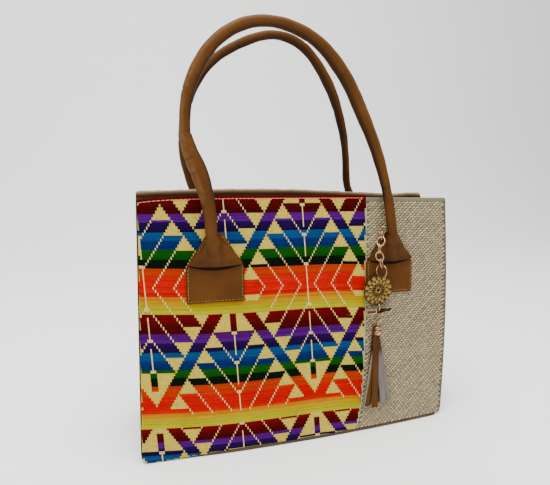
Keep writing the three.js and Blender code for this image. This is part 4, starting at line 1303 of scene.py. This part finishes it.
def smooth_copy(node, finish, levels, name, bevel=0.0, slot="pale_gold"):
    """A rounded copy of a solid, from its own mesh."""
    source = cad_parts[node]
    mesh = source.data.copy()
    mesh.name = name
    form = bmesh.new()
    form.from_mesh(mesh)
    bmesh.ops.remove_doubles(form, verts=form.verts, dist=1e-6)
    bmesh.ops.join_triangles(form, faces=form.faces, angle_face_threshold=0.7, angle_shape_threshold=0.7)
    form.to_mesh(mesh)
    form.free()
    mesh.shade_smooth()
    mesh.materials.clear()
    mesh.materials.append(finish)
    piece = add_object(name, mesh)
    if bevel:
        round_off = piece.modifiers.new("round_off", "BEVEL")
        round_off.width = bevel * MM
        round_off.segments = 2
        round_off.limit_method = "ANGLE"
        mesh.set_sharp_from_angle(angle=math.radians(35))
    if levels:
        soft = piece.modifiers.new("soft", "SUBSURF")
        soft.levels = soft.render_levels = levels
    return belongs(piece, slot, node)


def make_tag():
    """The bare tag: its frame is bright, the field inside it dim and the twisted end dark."""
    tag = smooth_copy("tag", TAG_GOLD, 0, "bare_tag", 0.18, "old_gold")
    corners = np.array([v.co for v in tag.data.vertices]) / MM - CHARM.point
    framed = corners @ CHARM.across < TAG_FRAME_END
    recess = np.where(framed, np.where(corners @ CHARM.out > TAG_FACE, 0.0, 0.85), 1.0)
    tag.data.attributes.new("recess", "FLOAT", "POINT").data.foreach_set("value", recess)


for count in range(1, 6):
    smooth_copy(f"chain_link_{count}", PALE_GOLD, 2, f"link_{count}")
for ring in ("charm_loop", "ring_upper", "ring_lower", "ring_tassel"):
    smooth_copy(ring, PALE_GOLD, 2, "round_" + ring)
make_tag()

MEDALLION_RADIUS, LOBES, MEDALLION_THICKNESS, MEDALLION_TILT, MEDALLION_OUT = 18.4, 14, 1.5, 0.12, 5.9
EYE_OFFSET, EYE_RADIUS = 16.2, 1.6
BEADS_AT, BEAD_RADIUS, BEAD_HEIGHT = 15.2, 2.5, 1.25
PETALS_AT, PETAL_RADIUS, PETAL_STRETCH, PETAL_HEIGHT = 11.1, 1.75, 1.7, 0.9
RAYS_FROM, RAYS_TO, RAY_HEIGHT = 3.6, 9.4, 0.55
SLOT_FROM, SLOT_TO, SLOT_HALF, HOLES_AT, HOLE_RADIUS, MIDDLE_HOLE = 4.6, 8.2, (0.45, 0.8), 13.7, 0.8, 1.3
# Raised rings of the rosette: radius, width and height.
ROSETTE_RINGS = ((2.9, 0.7, 1.1), (9.2, 0.45, 0.5), (12.9, 0.4, 0.45))


def medallion_height(r, angle):
    """Height of the rosette's front over its plate, in millimetres."""
    lobe = np.cos(LOBES * angle)
    beside = np.cos(LOBES * angle + np.pi)
    bead_gap = np.hypot(r - BEADS_AT, BEADS_AT * np.arccos(np.clip(lobe, -1, 1)) / LOBES)
    bead = BEAD_HEIGHT * np.sqrt(np.clip(1 - (bead_gap / BEAD_RADIUS) ** 2, 0, 1))
    petal_side = PETALS_AT * np.arccos(np.clip(beside, -1, 1)) / LOBES
    petal_gap = np.hypot((r - PETALS_AT) / PETAL_STRETCH, petal_side)
    petal = PETAL_HEIGHT * np.sqrt(np.clip(1 - (petal_gap / PETAL_RADIUS) ** 2, 0, 1))
    rays = RAY_HEIGHT * (0.5 + 0.5 * np.cos(2 * LOBES * angle))
    rays = rays * smoothstep(r - RAYS_FROM) * smoothstep(RAYS_TO - r)
    rings = sum(rise * bell(r - at, wide) for at, wide, rise in ROSETTE_RINGS)
    return np.maximum.reduce([bead, petal, rays, rings])


def make_medallion():
    around, steps = LOBES * 16, 46
    angle = 2 * np.pi * np.arange(around) / around
    edge = MEDALLION_RADIUS - 1.1 * (1 - np.abs(np.cos(LOBES * angle / 2)))
    edge = edge + 0.8 * bell(np.sin(angle), 0.16)
    share = np.linspace(0, 1, steps)
    r = lerp(MIDDLE_HOLE, edge[None, :], share[:, None])
    a = np.broadcast_to(angle, r.shape)
    lift = medallion_height(r, a) * smoothstep((1 - share[:, None]) / 0.05)
    across, up = -r * np.sin(a), r * np.cos(a)
    middle_r, middle_a = (r[:-1] + r[1:]) / 2, a[:-1] + np.pi / around
    ma, mu = -middle_r * np.sin(middle_a), middle_r * np.cos(middle_a)
    phase = np.abs(np.mod(middle_a * LOBES / (2 * np.pi), 1) - 0.5) * 2 * np.pi / LOBES
    half_slot = lerp(*SLOT_HALF, (middle_r - SLOT_FROM) / (SLOT_TO - SLOT_FROM))
    slot = (middle_r > SLOT_FROM) & (middle_r < SLOT_TO) & (phase * middle_r < half_slot)
    hole = np.hypot(middle_r - HOLES_AT, phase * middle_r) < HOLE_RADIUS
    eye = np.hypot(ma, np.abs(mu) - EYE_OFFSET) < EYE_RADIUS
    open_cell = slot | hole | eye
    local = []
    for out in (lift + MEDALLION_THICKNESS / 2, np.full(r.shape, -MEDALLION_THICKNESS / 2)):
        tilted_up = up * math.cos(MEDALLION_TILT) - out * math.sin(MEDALLION_TILT)
        tilted_out = MEDALLION_OUT + up * math.sin(MEDALLION_TILT) + out * math.cos(MEDALLION_TILT)
        local.append(CHARM.place(across, tilted_out, tilted_up).reshape(-1, 3))
    total = r.size

    def corner(i, j, back):
        return back * total + i * around + j % around

    faces = []
    for i in range(steps - 1):
        for j in range(around):
            if open_cell[i, j]:
                continue
            quad = ((i, j), (i + 1, j), (i + 1, j + 1), (i, j + 1))
            faces.append(tuple(corner(*q, 0) for q in quad))
            faces.append(tuple(corner(*q, 1) for q in quad[::-1]))
            sides = (
                (open_cell[i, j - 1], quad[0], quad[1]),
                (i == steps - 2 or open_cell[i + 1, j], quad[1], quad[2]),
                (open_cell[i, (j + 1) % around], quad[2], quad[3]),
                (i == 0 or open_cell[i - 1, j], quad[0], quad[3]),
            )
            for bare, p, q in sides:
                if bare:
                    faces.append((corner(*p, 0), corner(*q, 0), corner(*q, 1), corner(*p, 1)))
    points = np.vstack(local)
    recess = np.r_[np.clip(1 - lift.ravel() / 0.7, 0, 1) * 0.85, np.full(total, 0.4)]
    used = np.unique([v for face in faces for v in face])
    index = np.full(len(points), -1)
    index[used] = np.arange(len(used))
    faces = [tuple(int(index[v]) for v in face) for face in faces]
    belongs(add_mesh("pierced_medallion", points[used], faces, OLD_GOLD, 55, recess=recess[used]),
            "old_gold", "medallion")


CAP_RADIUS, CAP_HEIGHT, CAP_ACROSS, CAP_OUT, CAP_UP = 5.2, 10.4, -0.8, 5.3, -42.2
CAP_SIDES, CAP_EYE, CAP_WIRE = 32, 2.7, 0.65


def make_cap():
    profile = smooth_path([
        (0.3, 0), (2, -0.3), (CAP_RADIUS - 1.2, -1.4), (CAP_RADIUS - 0.6, -2.9), (CAP_RADIUS - 0.8, -4.2),
        (CAP_RADIUS - 1.3, -4.9), (CAP_RADIUS - 0.4, -5.5), (CAP_RADIUS, -6.6), (CAP_RADIUS, -10),
        (CAP_RADIUS - 0.3, -CAP_HEIGHT), (CAP_RADIUS - 0.9, -CAP_HEIGHT), (CAP_RADIUS - 1, -7),
        (0.3, -6.6),
    ], 4)
    angle = np.radians(np.linspace(0, 360, CAP_SIDES, endpoint=False))
    rings = [CHARM.place(CAP_ACROSS + r * np.cos(angle), CAP_OUT + r * np.sin(angle), CAP_UP + z)
             for r, z in profile]
    points, faces = loft(rings)
    groove = np.repeat(bell(profile[:, 1] + 4.9, 0.5), CAP_SIDES)
    # One side of the bell is painted dark as painted shade, and the groove is darkened as patina.
    shaded_side = np.tile(0.75 * smoothstep((-np.cos(angle) - 0.2) / 0.5), len(profile))
    belongs(add_mesh("cap_bell", points, faces, PALE_GOLD, recess=np.maximum(groove, shaded_side)),
            "pale_gold", "tassel_cap")
    steps, sides = 28, 10
    turn, wire = (np.radians(np.linspace(0, 360, count, endpoint=False)) for count in (steps, sides))
    r, side = CAP_EYE + CAP_WIRE * np.cos(wire), CAP_WIRE * np.sin(wire)
    eye = [CHARM.place(CAP_ACROSS + side, CAP_OUT + r * np.sin(a), CAP_UP + 2.4 + r * np.cos(a))
           for a in turn]
    grid = np.arange(steps * sides).reshape(steps, sides)
    beside, ahead = np.roll(grid, -1, axis=1), np.roll(grid, -1, axis=0)
    faces = np.stack([grid, beside, np.roll(beside, -1, axis=0), ahead], axis=-1).reshape(-1, 4).tolist()
    belongs(add_mesh("cap_eye", np.vstack(eye), faces, PALE_GOLD), "pale_gold")


# Head and foot of each strip across, its foot out from the panel, its length, its turn at the foot, the
# share of its width left at the head, and its dye.
STRIPS = (
    (-1.9, -3.5, 7.6, 85.2, 0.05, 1, "brown"),
    (-3.4, -12, 5.8, 83, 0.2, 0.9, "brown"),
    (0.4, 9.3, 4.8, 83.6, -0.1, 0.6, "white"),
    (0.8, 16.6, 3.6, 82.4, -0.45, 0.55, "white"),
    (-2.2, -15.8, 4.9, 85, 0.9, 0.5, "white"),
    (-0.6, -5.8, 2, 83.4, 0.05, 0.6, "white"),
    (0.2, 2, 1.8, 82, 0, 0.8, "brown"),
)
STRIP_WIDTH, STRIP_THICKNESS, STRIP_STEPS = 8, 1.1, 30


def make_tassel():
    head_up = CAP_UP - CAP_HEIGHT - GAP
    section = np.array([(-1, -0.4), (-1, 0.4), (-0.94, 1), (0, 1), (0.94, 1),
                        (1, 0.4), (1, -0.4), (0.94, -1), (0, -1), (-0.94, -1)])
    shares = np.linspace(0, 1, STRIP_STEPS)
    for count, (head, across, out, length, turn, pinch, dye) in enumerate(STRIPS, 1):
        rings = []
        for share in shares:
            spread = lerp(0.16, 1, share**1.2)
            half = STRIP_WIDTH / 2 * lerp(pinch, 1, min(1, share * 2))
            sway = 0.5 * math.sin(5 * share + count) * share
            flat = section * (half, STRIP_THICKNESS / 2)
            flat = flat + np.outer(flat[:, 0] ** 2 / half**2 * 0.25, (0, 1))
            angle = turn * share
            x = flat[:, 0] * math.cos(angle) - flat[:, 1] * math.sin(angle)
            y = flat[:, 0] * math.sin(angle) + flat[:, 1] * math.cos(angle)
            middle, deep = lerp(head, across, share**1.2), (out - CAP_OUT) * spread
            rings.append(CHARM.place(middle + x + 0.6 * sway, CAP_OUT + deep - y + 0.3 * sway,
                                     head_up - 0.2 - share * (length + 1.3)))
        points, faces = loft(rings)
        # The strips' edges are a little darker, and their heads are painted dark as painted shade under the
        # cap and the front strip, which itself gets less.
        edge = np.tile(np.where(np.abs(section[:, 0]) > 0.9, 0.1, 0), STRIP_STEPS)
        head_shade = 0.85 * (1 - smoothstep((np.repeat(shares, len(section)) - 0.18) / 0.17))
        finish = STRIP_BROWN if dye == "brown" else STRIP_WHITE
        dim = np.maximum(edge, head_shade if count > 1 else 0.35 * head_shade)
        piece = add_mesh(f"strip_{count}", points, faces, finish, 60, burnish=dim)
        belongs(piece, "tassel_leather", *(["tassel"] if count == 1 else []))


make_medallion()
make_cap()
make_tassel()

boxes = {"cad": CAD_BOX, "visual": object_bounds()}
{key: [[float(v) for v in corner] for corner in box] for key, box in boxes.items()}
